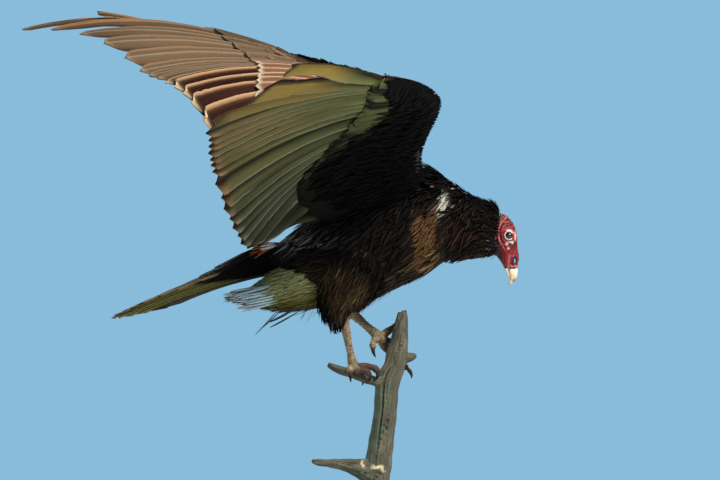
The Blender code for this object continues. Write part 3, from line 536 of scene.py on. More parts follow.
class Coat:
    """Small feathers, laid as flattened closed vanes, gathered and made one mesh."""
    STEPS = np.array((0.10, 0.30, 0.55, 0.78, 0.93))
    ACROSS = np.array(((-1.0, 0.0), (0.0, 1.0), (1.0, 0.0), (0.0, -0.35)))

    def __init__(self, name, finish, slot):
        self.name, self.finish, self.slot = name, finish, slot
        self.rings, self.ends, self.tints, self.end_tints, self.bake = [], [], [], [], []

    def lay(self, root, way, normal, length, width, root_tint, tip_tint, edge_tint, patch, rise=0.0,
            droop=0.0, curl=0.0, point=3.0, thick=0.10):
        """Every argument is an array with one entry for each feather, or a number.

        rise lifts the tip off the coat, droop brings it back, both as shares of the length; point is low
        for a sharp tip and high for a round one."""
        n = len(root)
        full = lambda x: np.broadcast_to(np.asarray(x, dtype=float), (n,))[:, None]
        length, width, rise, droop, curl, point = map(full, (length, width, rise, droop, curl, point))
        normal = unit(normal - way * np.sum(way * normal, axis=-1, keepdims=True))
        side = np.cross(way, normal)
        v = np.append(self.STEPS, 1.0)[None, :]
        ahead = length * v
        out = length * (rise * v - droop * v * v)
        aside = length * curl * v * v
        spine = root[:, None] + way[:, None] * ahead[..., None] + normal[:, None] * out[..., None] \
            + side[:, None] * aside[..., None]
        half = width * (1 - (1 - v) ** 3) * np.sqrt(np.clip(1 - v ** point, 0, 1))
        half = half[:, :-1, None, None]
        a, h = self.ACROSS[:, 0][None, None, :, None], self.ACROSS[:, 1][None, None, :, None]
        rings = spine[:, :-1, None] + side[:, None, None] * (a * half) + normal[:, None, None] \
            * (h * half * thick * 2)
        self.rings.append(rings)
        self.ends.append(np.stack((root, spine[:, -1]), axis=1))
        root_tint, tip_tint, edge_tint = [np.broadcast_to(np.asarray(c, dtype=float), (n, 3))[:, None, None]
                                          for c in (root_tint, tip_tint, edge_tint)]
        steps = self.STEPS[None, :, None, None]
        ridge = mix(root_tint, tip_tint, steps)
        rim = np.abs(a) * (0.35 + 0.65 * steps)
        self.tints.append(mix(ridge, edge_tint, rim))
        self.end_tints.append(np.concatenate((root_tint[:, 0], edge_tint[:, 0]), axis=1))
        low = patch - 0.0015
        self.bake.append(np.hstack((low, np.full((n, 2), 0.003))))

    def make(self):
        """The coat as pieces of PIECE_FEATHERS feathers at most."""
        parts = [np.concatenate(x) for x in (self.rings, self.ends, self.tints, self.end_tints, self.bake)]
        count = len(parts[0])
        pieces = max(1, math.ceil(count / PIECE_FEATHERS))
        order = np.arange(count) * pieces // count
        for k in range(pieces):
            name = self.name if pieces == 1 else f"{self.name}_{k + 1}"
            add_piece(name, joined_tubes(name, *[part[order == k] for part in parts]), self.finish)


def add_piece(name, mesh, finish, gone=()):
    """A piece of the model, in place of the nodes that are gone."""
    mesh.shade_smooth()
    obj = new_object(name, mesh)
    obj.data.materials.clear()
    obj.data.materials.append(finish)
    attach(obj, "root")
    if gone:
        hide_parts(*gone)


def mesh_of(name, bm):
    mesh = bpy.data.meshes.new(name)
    bm.to_mesh(mesh)
    bm.free()
    return mesh


def gathered(name, meshes):
    """One mesh of several."""
    bm = bmesh.new()
    for mesh in meshes:
        bm.from_mesh(mesh)
    return mesh_of(name, bm)


def evaluated(obj):
    """The object's mesh as its modifiers leave it."""
    return bpy.data.meshes.new_from_object(obj.evaluated_get(bpy.context.evaluated_depsgraph_get()))


def bent_grid(name, around, rows, shape):
    """A grid turned round into a tube: shape(t, turn) gives the points, and each end closes on itself."""
    bm = bmesh.new()
    bmesh.ops.create_grid(bm, x_segments=around, y_segments=rows, size=0.5)
    mesh = mesh_of(name, bm)
    flat = coordinates(mesh)
    points = shape(flat[:, 1] + 0.5, (flat[:, 0] + 0.5) * 2 * math.pi)
    put_coordinates(mesh, points)
    bm = bmesh.new()
    bm.from_mesh(mesh)
    bmesh.ops.remove_doubles(bm, verts=bm.verts, dist=1e-6)
    bmesh.ops.holes_fill(bm, edges=[e for e in bm.edges if e.is_boundary])
    bmesh.ops.recalc_face_normals(bm, faces=bm.faces)
    bm.to_mesh(mesh)
    bm.free()
    return mesh


def rounded_ends(t, blunt=0.04):
    """Share of the full girth near the ends of a tube, so that they close softly."""
    return np.sqrt(np.clip(1 - (1 - np.clip(t / blunt, 0, 1)) ** 2, 0, 1)) \
        * np.sqrt(np.clip(1 - (1 - np.clip((1 - t) / blunt, 0, 1)) ** 2, 0, 1))


def fused(name, meshes, voxel, smooth=0):
    """One even skin round several closed meshes."""
    obj = new_object(f"{name}_core", gathered(name, meshes))
    wrap = obj.modifiers.new("wrap", "REMESH")
    wrap.mode, wrap.voxel_size, wrap.adaptivity = "VOXEL", voxel, 0.0
    if smooth:
        soften = obj.modifiers.new("soften", "SMOOTH")
        soften.factor, soften.iterations = 0.5, smooth
    made = evaluated(obj)
    made.name = name
    bpy.data.objects.remove(obj)
    return made


# ---------------------------------------------------------------- finishes
class Shade:
    """A shader socket whose arithmetic adds Math nodes."""

    def __init__(self, finish, socket):
        self.finish, self.socket = finish, socket

    def maths(self, operation, *values):
        node = self.finish.add("ShaderNodeMath", {"operation": operation}, dict(enumerate(values)))
        return Shade(self.finish, node.outputs[0])

    def __add__(self, other): return self.maths("ADD", self, other)
    def __sub__(self, other): return self.maths("SUBTRACT", self, other)
    def __rsub__(self, other): return self.maths("SUBTRACT", other, self)
    def __mul__(self, other): return self.maths("MULTIPLY", self, other)
    __radd__, __rmul__ = __add__, __mul__

    def clip(self):
        return self.maths("MAXIMUM", self.maths("MINIMUM", self, 1.0), 0.0)

    def wave(self):
        return self.maths("SINE", self)

    def size(self):
        return self.maths("ABSOLUTE", self)


class Finish:
    """A material under construction."""

    def __init__(self, name, **plain):
        self.material = bpy.data.materials.new(name)
        self.material.use_nodes = True
        self.tree = self.material.node_tree
        self.shader = self.tree.nodes["Principled BSDF"]
        for socket, value in plain.items():
            self.shader.inputs[socket.replace("_", " ")].default_value = value

    def add(self, kind, settings=None, sockets=None):
        node = self.tree.nodes.new(kind)
        for key, value in (settings or {}).items():
            setattr(node, key, value)
        for key, value in (sockets or {}).items():
            if isinstance(value, Shade):
                self.tree.links.new(value.socket, node.inputs[key])
            elif value is not None:
                node.inputs[key].default_value = value
        return node

    def attribute(self, name, output="Color"):
        return Shade(self, self.add("ShaderNodeAttribute", {"attribute_name": name}).outputs[output])

    def place(self):
        return Shade(self, self.add("ShaderNodeTexCoord").outputs["Object"])

    def stretched(self, scale, vector=None):
        node = self.add("ShaderNodeMapping", None, {"Vector": vector or self.place(), "Scale": scale})
        return Shade(self, node.outputs[0])

    def noise(self, scale, detail=2.0, vector=None, rough=0.5):
        node = self.add("ShaderNodeTexNoise", None, {"Vector": vector or self.place(), "Scale": scale,
                                                     "Detail": detail, "Roughness": rough})
        return Shade(self, node.outputs["Fac"])

    def cells(self, scale):
        settings, sockets = {"feature": "DISTANCE_TO_EDGE"}, {"Vector": self.place(), "Scale": scale}
        return Shade(self, self.add("ShaderNodeTexVoronoi", settings, sockets).outputs[0])

    def blended(self, share, first, second, kind="MIX"):
        node = self.add("ShaderNodeMix", {"data_type": "RGBA", "blend_type": kind},
                        {0: share, 6: first if isinstance(first, Shade) else (*first, 1.0),
                         7: second if isinstance(second, Shade) else (*second, 1.0)})
        return Shade(self, node.outputs[2])

    def varied(self, colour, share, low, high):
        """The colour, multiplied by shades from low to high."""
        return self.blended(1.0, colour, self.blended(share, low, high), "MULTIPLY")

    def bump(self, height, depth, strength):
        node = self.add("ShaderNodeBump", None, {"Height": height, "Distance": depth, "Strength": strength})
        self.tree.links.new(node.outputs[0], self.shader.inputs["Normal"])

    def feed(self, socket, value):
        self.tree.links.new(value.socket, self.shader.inputs[socket])


def feather_finish(name, gloss, barbs=False):
    made = Finish(name, Roughness=gloss, Specular_IOR_Level=0.03)
    speck = made.noise(900.0, 2.0)
    shade = made.varied(made.attribute("tint"), speck, (0.72, 0.72, 0.72), (1.22, 1.2, 1.16))
    if barbs:
        place = Shade(made, made.add("ShaderNodeUVMap", {"uv_map": "vane"}).outputs[0])
        vane = made.add("ShaderNodeSeparateXYZ", None, {0: place})
        across, along = Shade(made, vane.outputs[0]), Shade(made, vane.outputs[1])
        barb = ((along - across.size() * 0.16) * 420.0).wave() * 0.5 + 0.5
        streak = made.noise(1.0, 3.0, made.stretched((3.0, 60.0, 1.0), place))
        shade = made.varied(shade, barb, (0.86, 0.86, 0.86), (1.08, 1.08, 1.08))
        shade = made.varied(shade, streak, (0.8, 0.8, 0.8), (1.2, 1.2, 1.2))
        made.bump(barb + streak, 0.0002, 0.6)
    else:
        made.bump(speck, 0.0002, 0.5)
    made.feed("Base Color", shade)
    made.feed("Roughness", made.noise(240.0, 1.0) * 0.2 + (gloss - 0.1))
    return made.material


def skin_finish():
    made = Finish("bare_skin", Roughness=0.5, Specular_IOR_Level=0.30, Subsurface_Weight=0.05,
                  Subsurface_Scale=0.002)
    made.shader.inputs["Subsurface Radius"].default_value = (1.0, 0.35, 0.25)
    grain = made.noise(1500.0, 3.0)
    pores = made.cells(900.0)
    made.feed("Base Color", made.varied(made.attribute("tint"), grain, (0.80, 0.76, 0.76), (1.2, 1.2, 1.2)))
    made.feed("Roughness", 0.42 + 0.3 * grain)
    made.bump(grain * 0.6 + pores, 0.0003, 0.7)
    return made.material


def horn_finish(name, gloss, coat=0.2, shine=0.5):
    made = Finish(name, Roughness=gloss, Coat_Weight=coat, Coat_Roughness=0.2, Specular_IOR_Level=shine)
    lines = made.noise(90.0, 3.0, made.stretched((1.0, 1.0, 9.0)))
    fine = made.noise(1600.0, 2.0)
    made.feed("Base Color", made.varied(made.attribute("tint"), lines, (0.78, 0.74, 0.70),
                                        (1.15, 1.15, 1.15)))
    made.feed("Roughness", gloss - 0.08 + 0.2 * fine)
    made.bump(lines * 0.7 + fine * 0.3, 0.0003, 0.6)
    return made.material


def eye_finish():
    made = Finish("wet_eye", Roughness=0.05, Coat_Weight=1.0, Coat_Roughness=0.02)
    made.feed("Base Color", made.attribute("tint"))
    return made.material


def wood_finish():
    made = Finish("weathered_wood", Roughness=0.85)
    grain = made.attribute("grain", "Vector")
    lines = made.noise(1.0, 4.0, made.stretched((1100.0, 1100.0, 60.0), grain), 0.65)
    sharp = ((lines - 0.5) * 2.4 + 0.5).clip()
    blotch = made.noise(60.0, 3.0)
    colour = made.varied(made.attribute("tint"), sharp, (0.35, 0.33, 0.30), (1.6, 1.6, 1.6))
    colour = made.varied(colour, blotch, (0.75, 0.75, 0.72), (1.25, 1.25, 1.25))
    made.feed("Base Color", colour)
    made.feed("Roughness", 0.72 + 0.25 * lines)
    made.bump(lines + blotch * 0.4, 0.0008, 0.8)
    return made.material


def stand_wood_finish():
    made = Finish("dark_stained_wood", Roughness=0.4, Coat_Weight=0.25, Coat_Roughness=0.25)
    rings = made.noise(6.0, 4.0, made.stretched((2.0, 24.0, 24.0)), 0.6)
    pores = made.noise(40.0, 2.0, made.stretched((4.0, 60.0, 60.0)))
    made.feed("Base Color", made.blended((rings * 1.4 - 0.2).clip(), (0.020, 0.012, 0.008),
                                         (0.085, 0.045, 0.024)))
    made.feed("Roughness", 0.32 + 0.25 * pores)
    made.bump(pores + rings * 0.5, 0.0002, 0.5)
    return made.material


def steel_finish():
    made = Finish("brushed_steel", Metallic=1.0, Roughness=0.3)
    brush = made.noise(60.0, 2.0, made.stretched((6.0, 6.0, 90.0)))
    made.feed("Base Color", made.blended(brush, (0.42, 0.42, 0.43), (0.60, 0.60, 0.61)))
    made.feed("Roughness", 0.22 + 0.2 * brush)
    made.bump(brush, 0.0001, 0.4)
    return made.material


# ---------------------------------------------------------------- flight feathers
VANE_PARTS = np.array((-1.0, -0.93, -0.80, -0.52, -0.24, -0.08, 0.0, 0.07, 0.40, 0.75, 0.93, 1.0))
SHAFT_COLUMN = 6
SHAFT_AT = 0.60  # the shaft's share of the way across its feather's place
RACHIS_LIFT = 0.0008
VANE_THICK = 0.0005


def long_feathers(name, fan, first, last, count, start, inner, outer, painter, finish, seed,
                  reach=lambda s: 1.0, taper=lambda s: (0.0, 0.9), rows=44, tilt=0.0022,
                  lift=lambda s, v: 0.0, ragged=0.05, round_end=0.045, slant=0.0, gone=(), sweep_by=0.10,
                  loose=0.0009, lean=lambda s: 0.0):
    """Flight feathers or long coverts, count of them from station first to last, as thin vanes with shafts.

    Each feather overlies the next one out. start and reach are the shares of the flight feather where it
    begins and ends, inner and outer its half widths as shares of the spacing, and taper(station) says how
    much narrower its free end is and from which share on. lift(station, v) holds it off the fan, above where
    positive. slant cuts the outer half of the end short, lean(station) bends it outwards, and painter gives
    the colours."""
    rng = np.random.default_rng(seed)
    bounds = np.linspace(first, last, count + 1)
    spacing = (last - first) / count
    shaft = bounds[:-1] + SHAFT_AT * spacing
    v = np.linspace(0.0, 1.0, rows + 1)[None, :] ** 0.85
    begin, finish_at = [np.array([f(s) for s in shaft])[:, None] for f in (start, reach)]
    finish_at = finish_at * (1 + rng.uniform(-0.012, 0.012, (count, 1)) * (finish_at < 0.999))
    share = begin + (finish_at - begin) * v
    slim, notch = [np.array([taper(s)[i] for s in shaft])[:, None] for i in (0, 1)]
    narrow = 1 - slim * soft_step(notch, notch + 0.6 * (1 - notch), v)
    end = round_end * (1 + 2.2 * slim)
    close = np.clip((v - 1 + end) / end, 0, 1)
    width = narrow * np.sqrt(np.clip(1 - close ** 2.4, 0.0, 1)) * (0.35 + 0.65 * soft_step(0.0, 0.12, v))
    wear = np.zeros((count, rows + 1, 2))
    for k in range(count):
        for s in range(2):
            for _ in range(rng.integers(1, 5)):
                at, wide = rng.uniform(0.60, 1.0), rng.uniform(0.004, 0.012)
                wear[k, :, s] += rng.uniform(0.3, 1.0) * bump_at(v[0], at, wide)
    wear = 1 - ragged * 6 * np.clip(wear, 0, 1) * rng.uniform(0.1, 1.0, (count, 1, 2)) \
        + rng.uniform(-1, 1, wear.shape) * ragged * 0.5
    sweep = (rng.uniform(-sweep_by, sweep_by, (count, 1)) + np.array([[lean(s)] for s in shaft])) * v ** 2
    a = VANE_PARTS[None, None, :]
    edge = np.where(a < 0, inner * wear[..., :1], outer * wear[..., 1:])
    station = shaft[:, None, None] + sweep[..., None] + a * edge * width[..., None] * spacing
    station = np.clip(station, 0.02, fan.roots.shape[0] / fan.FINE - 0.1)
    # Barbs meet the tip in a rounded end: the outer parts of the vane stop short of it.
    back = ((np.abs(a) ** 2.2) * 0.010 + slant * (a + 1) / 2) * soft_step(0.80, 1.0, v)[..., None] \
        * (1 + rng.uniform(-0.5, 0.8, (count, 1, 1)))
    at = share[..., None] - back
    middle = fan.point(station, at)
    normal = fan.normal(station, at)
    lumps = np.stack(np.broadcast_arrays(station * 1.3, at * 14, a + 0 * at), axis=-1)
    ripple = smooth_noise(lumps, 1.0, seed) * 0.65 * loose
    raised = np.array([lift(s, v[0]) + 0 * v[0] for s in shaft])[..., None]
    flutter = rng.uniform(-1, 1, (count, 1, 1)) * loose * v[..., None]
    offset = raised + tilt * a - 0.0008 * a * a + ripple + flutter
    middle = middle + normal * offset[..., None]
    ridge = RACHIS_LIFT * np.exp(-(a / 0.06) ** 2) * (1 - 0.75 * v[..., None])
    half = 0.45 * VANE_THICK * np.sqrt(np.clip(1 - a * a, 0, 1)) + 0.00002
    top = middle + normal * (half + ridge)[..., None]
    low = middle - normal * (half + ridge * 0.8)[..., None]
    rings = np.concatenate((top, low[:, :, -2:0:-1]), axis=2)
    upper = painter(shaft[:, None, None], at, a, v[..., None], True)
    under = painter(shaft[:, None, None], at, a, v[..., None], False)
    colours = np.concatenate((upper, under[:, :, -2:0:-1]), axis=2)
    spine = middle[:, :, SHAFT_COLUMN]
    ends = np.stack((spine[:, 0], spine[:, -1] + unit(spine[:, -1] - spine[:, -2]) * 0.0006), axis=1)
    end_colours = np.stack((upper[:, 0, SHAFT_COLUMN], upper[:, -1, SHAFT_COLUMN]), axis=1)
    slots = np.arange(count) / count
    bake = np.stack((slots + 0.02 / count, np.full(count, 0.01), np.full(count, 0.94 / count),
                     np.full(count, 0.98)), axis=1)
    parts = np.concatenate((VANE_PARTS, VANE_PARTS[-2:0:-1]))
    vane = np.stack(np.broadcast_arrays(parts[None, None, :], v[..., None] + shaft[:, None, None]), axis=-1)
    vane = np.concatenate((vane.reshape(count, -1, 2),
                           np.stack((vane[:, 0, SHAFT_COLUMN], vane[:, -1, SHAFT_COLUMN]), axis=1)), axis=1)
    mesh = joined_tubes(name, rings, ends, colours, end_colours, bake, vane)
    add_piece(name, mesh, finish, gone)


def vane_places(station, share, a, v):
    """Station, share, part and length of every point, with streaks, a number for each feather and drift."""
    shape = np.broadcast_shapes(station.shape, share.shape, a.shape)
    s, h, part, v = [np.broadcast_to(x, shape) for x in (station, share, a, v)]
    streaks = smooth_noise(np.stack((s * 1.1, h * 2.0, part * 6.0), axis=-1), 1.0, 9)
    each = smooth_noise(np.stack((s * 5.3, s * 0, s * 0), axis=-1), 1.0, 5)
    drift = smooth_noise(np.stack((s * 0.7, h * 4.0, part * 0.6), axis=-1), 1.0, 3)
    return [x[..., None] for x in (s, h, part, v, streaks, each, drift)]


def flight_painter(side):
    """Colours of a wing's flight feathers: dark brown above with pale edges, silvery olive below."""
    def colours(station, share, a, v, above):
        s, h, part, v, streaks, each, drift = vane_places(station, share, a, v)
        end, shaft = soft_step(0.955, 1.0, v), np.exp(-(part / 0.06) ** 2)
        hand = soft_step(17.8, 20.0, s)
        if above:
            colour = mix((0.030, 0.010, 0.006), (0.125, 0.080, 0.046), hand)
            colour = colour * (1 + 0.35 * each + 0.25 * streaks + 0.2 * drift)
            rim = soft_step(0.30, 0.95, part) * (0.9 - 0.6 * hand)
            colour = layered(colour, (
                ((0.62, 0.36, 0.19), np.clip(rim, 0, 0.9)),
                ((0.86, 0.62, 0.38), np.clip(end * (1 - 0.75 * hand), 0, 0.95)),
                ((0.008, 0.007, 0.007), soft_step(-0.45, -0.80, part) * (1 - 0.5 * hand)),
                ((0.42, 0.30, 0.21), soft_step(-0.94, -1.0, part) * hand * 0.8),
                ((0.46, 0.36, 0.27), shaft * 0.55 * hand)))
            ginger = soft_step(24.8, 26.0, s) * soft_step(0.3, 0.8, v) * (part > 0)
            colour = mix(colour, (0.44, 0.16, 0.045), ginger * 0.75)
        else:
            colour = mix((0.058, 0.062, 0.037), (0.115, 0.125, 0.045), soft_step(8, 21, s + 5 * streaks))
            colour = colour * (1 + 0.25 * each + 0.30 * streaks + 0.25 * drift)
            # darker from the inner edge to the shaft, darkest just beside it: partly the shaft's own colour,
            # partly painted shadow of the next feather's edge lying over it
            colour = colour * mix(1.10, 0.72, soft_step(-0.9, -0.1, part))
            colour = layered(colour, (
                ((0.20, 0.105, 0.038), soft_step(13.0, 20.0, s) * soft_step(0.25, 0.75, v)
                 * np.clip(0.3 + 1.5 * streaks, 0, 1) * 0.65),
                ((0.24, 0.225, 0.135), soft_step(-0.90, -0.93, part) * np.clip(0.5 + 2 * drift, 0, 1)),
                ((0.008, 0.007, 0.005), bump_at(part, -0.06, 0.12) * 0.95),
                ((0.020, 0.020, 0.012), bump_at(part, -0.24, 0.12) * 0.5)))
            brown, grey = (0.40, 0.22, 0.12), (0.30, 0.27, 0.19)
            ends = soft_step(0.93, 0.985, v + 0.02 * streaks)
            colour = layered(colour, (
                (mix(grey, brown, soft_step(8, 16, s)), ends * soft_step(-0.35, -0.75, part) * 0.9),
                ((0.035, 0.014, 0.008), ends * soft_step(-0.65, -0.30, part) * 0.9)))
            wedge = soft_step(25.0, 26.0, s)
            colour = layered(colour, (
                ((0.30, 0.200, 0.045), wedge * soft_step(0.20, 0.6, v) * 0.85),
                ((0.012, 0.009, 0.008), wedge * soft_step(0.1, 0.6, part)),
                ((0.020, 0.010, 0.006), wedge * soft_step(0.88, 0.97, v))))
            if side == "right":  # the innermost feathers lie in the dark of the armpit
                # painted shade: black over the innermost feathers, where the armpit's shadow falls
                dark = soft_step(4.2, 1.6, s + 1.2 * streaks) * soft_step(0.86, 0.62, h + 0.06 * streaks)
                colour = mix(colour, BLACK * 1.6, dark)
        return in_range(colour)
    return colours


def covert_painter(above):
    """Colours of the greater coverts, whose tips make a pale zigzag above and a dull band below."""
    def colours(station, share, a, v, top):
        s, h, part, v, streaks, each, drift = vane_places(station, share, a, v)
        end, shaft = soft_step(0.90, 1.0, v), np.exp(-(part / 0.06) ** 2)
        if above:
            hand = soft_step(18.5, 21.5, s)
            colour = mix((0.20, 0.100, 0.060), (0.115, 0.078, 0.046), hand) \
                * (1 + 0.25 * each + 0.3 * streaks)
            colour = layered(colour, (
                ((0.60, 0.38, 0.24), soft_step(0.30, 0.85, part) * (0.85 - 0.65 * hand)),
                ((0.016, 0.011, 0.010), soft_step(-0.45, -0.80, part) * (0.8 - 0.7 * hand)),
                ((0.85, 0.70, 0.54), end * (0.9 - 0.8 * hand))))
        else:
            colour = mix((0.036, 0.038, 0.020), (0.110, 0.120, 0.045), soft_step(9, 20, s))
            colour = colour * (1 + 0.3 * each + 0.35 * streaks)
            blotch = soft_step(-0.05, 0.25, drift) + soft_step(0.15, 0.5, streaks) * 0.6 \
                + soft_step(7.0, 3.5, s)
            colour = layered(colour, (
                (BLACK * 1.5, np.clip(blotch, 0, 1) * 0.95),
                ((0.075, 0.070, 0.040), soft_step(-0.75, -0.93, part) * soft_step(4.0, 8.0, s) * 0.6)))
        return in_range(mix(colour, (0.012, 0.010, 0.009), shaft * 0.4))
    return colours


def make_flight(side, finish):
    wing = WINGS[side]
    fan = wing_fan(side)
    covert = lambda s: blend(wing["coverts"], s)
    slim, notch = FINGERS[side]
    fingers = lambda s: (blend(slim, s), blend(notch, s))
    painter = flight_painter(side)
    shift = 20 if side == "left" else 0
    for k, (part, first, last, count, inner, outer) in enumerate((
            ("tertials", 0, ELBOW, TERTIALS, 1.10, 0.75),
            ("secondaries", ELBOW, WRIST, SECONDARIES, 1.05, 0.62),
            ("primaries", WRIST, HAND_END, PRIMARIES, 0.98, 0.42))):
        hand = part == "primaries"
        long_feathers(f"feathers_{side}_{part}", fan, first, last, count, lambda s: covert(s) * 0.40, inner,
                      outer, painter, finish, 11 + k + shift,
                      gone=(f"wing_{side}_{part}",), reach=lambda s: blend(REACH[side], s) if hand else 1.0,
                      taper=fingers if hand else lambda s: (0.0, 0.9), ragged=0.05 if hand else 0.035,
                      round_end=(0.10 if side == "left" else 0.045) if hand else 0.032,
                      slant=(0.0 if side == "left" else 0.014) if hand else 0.016,
                      sweep_by=0.10 if hand else 0.25, lean=lambda s: blend(LEAN[side], s))
    above = GREATER_ABOVE[side]
    long_feathers(f"greater_coverts_{side}_above", fan, 1, HAND_END, 25, lambda s: covert(s) * 0.45,
                  0.95, 0.62, covert_painter(True), finish, 41 + shift,
                  reach=lambda s: blend(above, s), rows=26,
                  lift=lambda s, v: 0.0050 - 0.0018 * soft_step(19, 23, s) * v, round_end=0.10, sweep_by=0.2,
                  tilt=0.0012)
    long_feathers(f"greater_coverts_{side}_below", fan, 0, HAND_END, 26, lambda s: covert(s) * 0.35,
                  1.0, 0.7, covert_painter(False), finish, 42 + shift,
                  reach=lambda s: covert(s) * GREATER_BELOW, rows=26, lift=lambda s, v: -0.0045,
                  round_end=0.12, sweep_by=0.35, tilt=0.0012)


def lay_rump(coat, rng):
    """A rusty tuft and a few cream and bluish feathers over the root of the tail."""
    fan = tail_fan()
    for k in range(34):
        share, station = rng.uniform(0.06, 0.26), rng.uniform(-0.6, 0.9)
        station = np.array([max(station, 0.05)])
        root, normal = fan.point(station, np.array([share])), fan.normal(station, np.array([share]))
        way = unit(fan.point(station, np.array([share + 0.1])) - root)
        rusty = share > 0.12
        plain = (0.55, 0.50, 0.38) if k % 5 == 0 else (0.26, 0.30, 0.32)
        colour = np.array((0.20, 0.055, 0.018) if rusty else plain)
        coat.lay(root + normal * rng.uniform(-0.004, 0.008), unit(way + rng.normal(0, 0.12, (1, 3))), -normal,
                 np.array([rng.uniform(0.020, 0.034)]), rng.uniform(0.0014, 0.0028), colour * 0.5,
                 colour * rng.uniform(0.6, 1.1), colour, np.array([(0.5, 0.5)]), rise=0.05, droop=0.05,
                 curl=rng.uniform(-0.1, 0.1), point=rng.uniform(1.0, 2.5), thick=0.05)


def make_tail(finish):
    """Tail feathers, with painted shade in black on the near side and roots of their undersides, and the
    black coverts over their roots.
    """
    fan = tail_fan()

    def colours(station, share, a, v, above):
        s, h, part, v, streaks, each, drift = vane_places(station, share, a, v)
        end, shaft = soft_step(0.90, 1.0, v), np.exp(-(part / 0.06) ** 2)
        if above:
            colour = np.array((0.008, 0.007, 0.008)) * (1 + 0.4 * streaks)
            colour = mix(colour, (0.20, 0.11, 0.055), end * 0.8)
        else:
            colour = np.array((0.150, 0.140, 0.040)) * (1 + 0.25 * each + 0.4 * streaks)
            colour = layered(colour, (
                ((0.022, 0.012, 0.006), soft_step(0.25, 0.75, part) * 0.85),
                ((0.24, 0.110, 0.040), bump_at(v, 0.66, 0.16) * soft_step(7.0, 3.0, s) * 0.8),
                ((0.46, 0.36, 0.20), end * np.clip(0.6 + each, 0, 1) * 0.7)))
            # painted shade: black over the undersides on the near side and towards the roots, where the body
            # and coverts shade them
            reach = np.interp(s, (0, 2, 4, 8, 12), (0.98, 0.84, 0.64, 0.46, 0.24))
            dark = soft_step(0.03, -0.03, h + 0.04 * streaks - reach)
            colour = layered(colour, (
                (BLACK * 1.3, np.clip(dark, 0, 1)),
                ((0.010, 0.008, 0.006), soft_step(10.5, 11.1, s) * 0.95)))
        return in_range(mix(colour, (0.30, 0.24, 0.11), shaft * 0.25 * soft_step(0.4, 0.6, h)))

    def black(station, share, a, v, above):
        streaks = vane_places(station, share, a, v)[4]
        return in_range(BLACK * (1.1 + 0.5 * streaks), 0.002)

    long_feathers("feathers_tail", fan, 0, TAIL_FEATHERS, TAIL_FEATHERS, lambda s: 0.02, 1.15, 0.70, colours,
                  finish, 61, tilt=0.0006, gone=("tail",), round_end=0.06, loose=0.0003)
    for k, (length, high, last) in enumerate(((0.52, 0.0035, 6.0), (0.42, 0.0065, 8.0),
                                              (0.24, 0.0090, 11.5))):
        reach = lambda s: length * blend(((0, 1.85), (3, 1.2), (12, 1.0)), s)
        arch = lambda s, v: high * np.sin(math.pi * (0.15 + 0.75 * v))
        long_feathers(f"tail_coverts_{k + 1}", fan, 0, last, 5 + k, lambda s: 0.03, 1.1, 0.9, black, finish,
                      71 + k, reach=reach, rows=20, lift=arch, round_end=0.16, tilt=0.0008,
                      sweep_by=0.3)


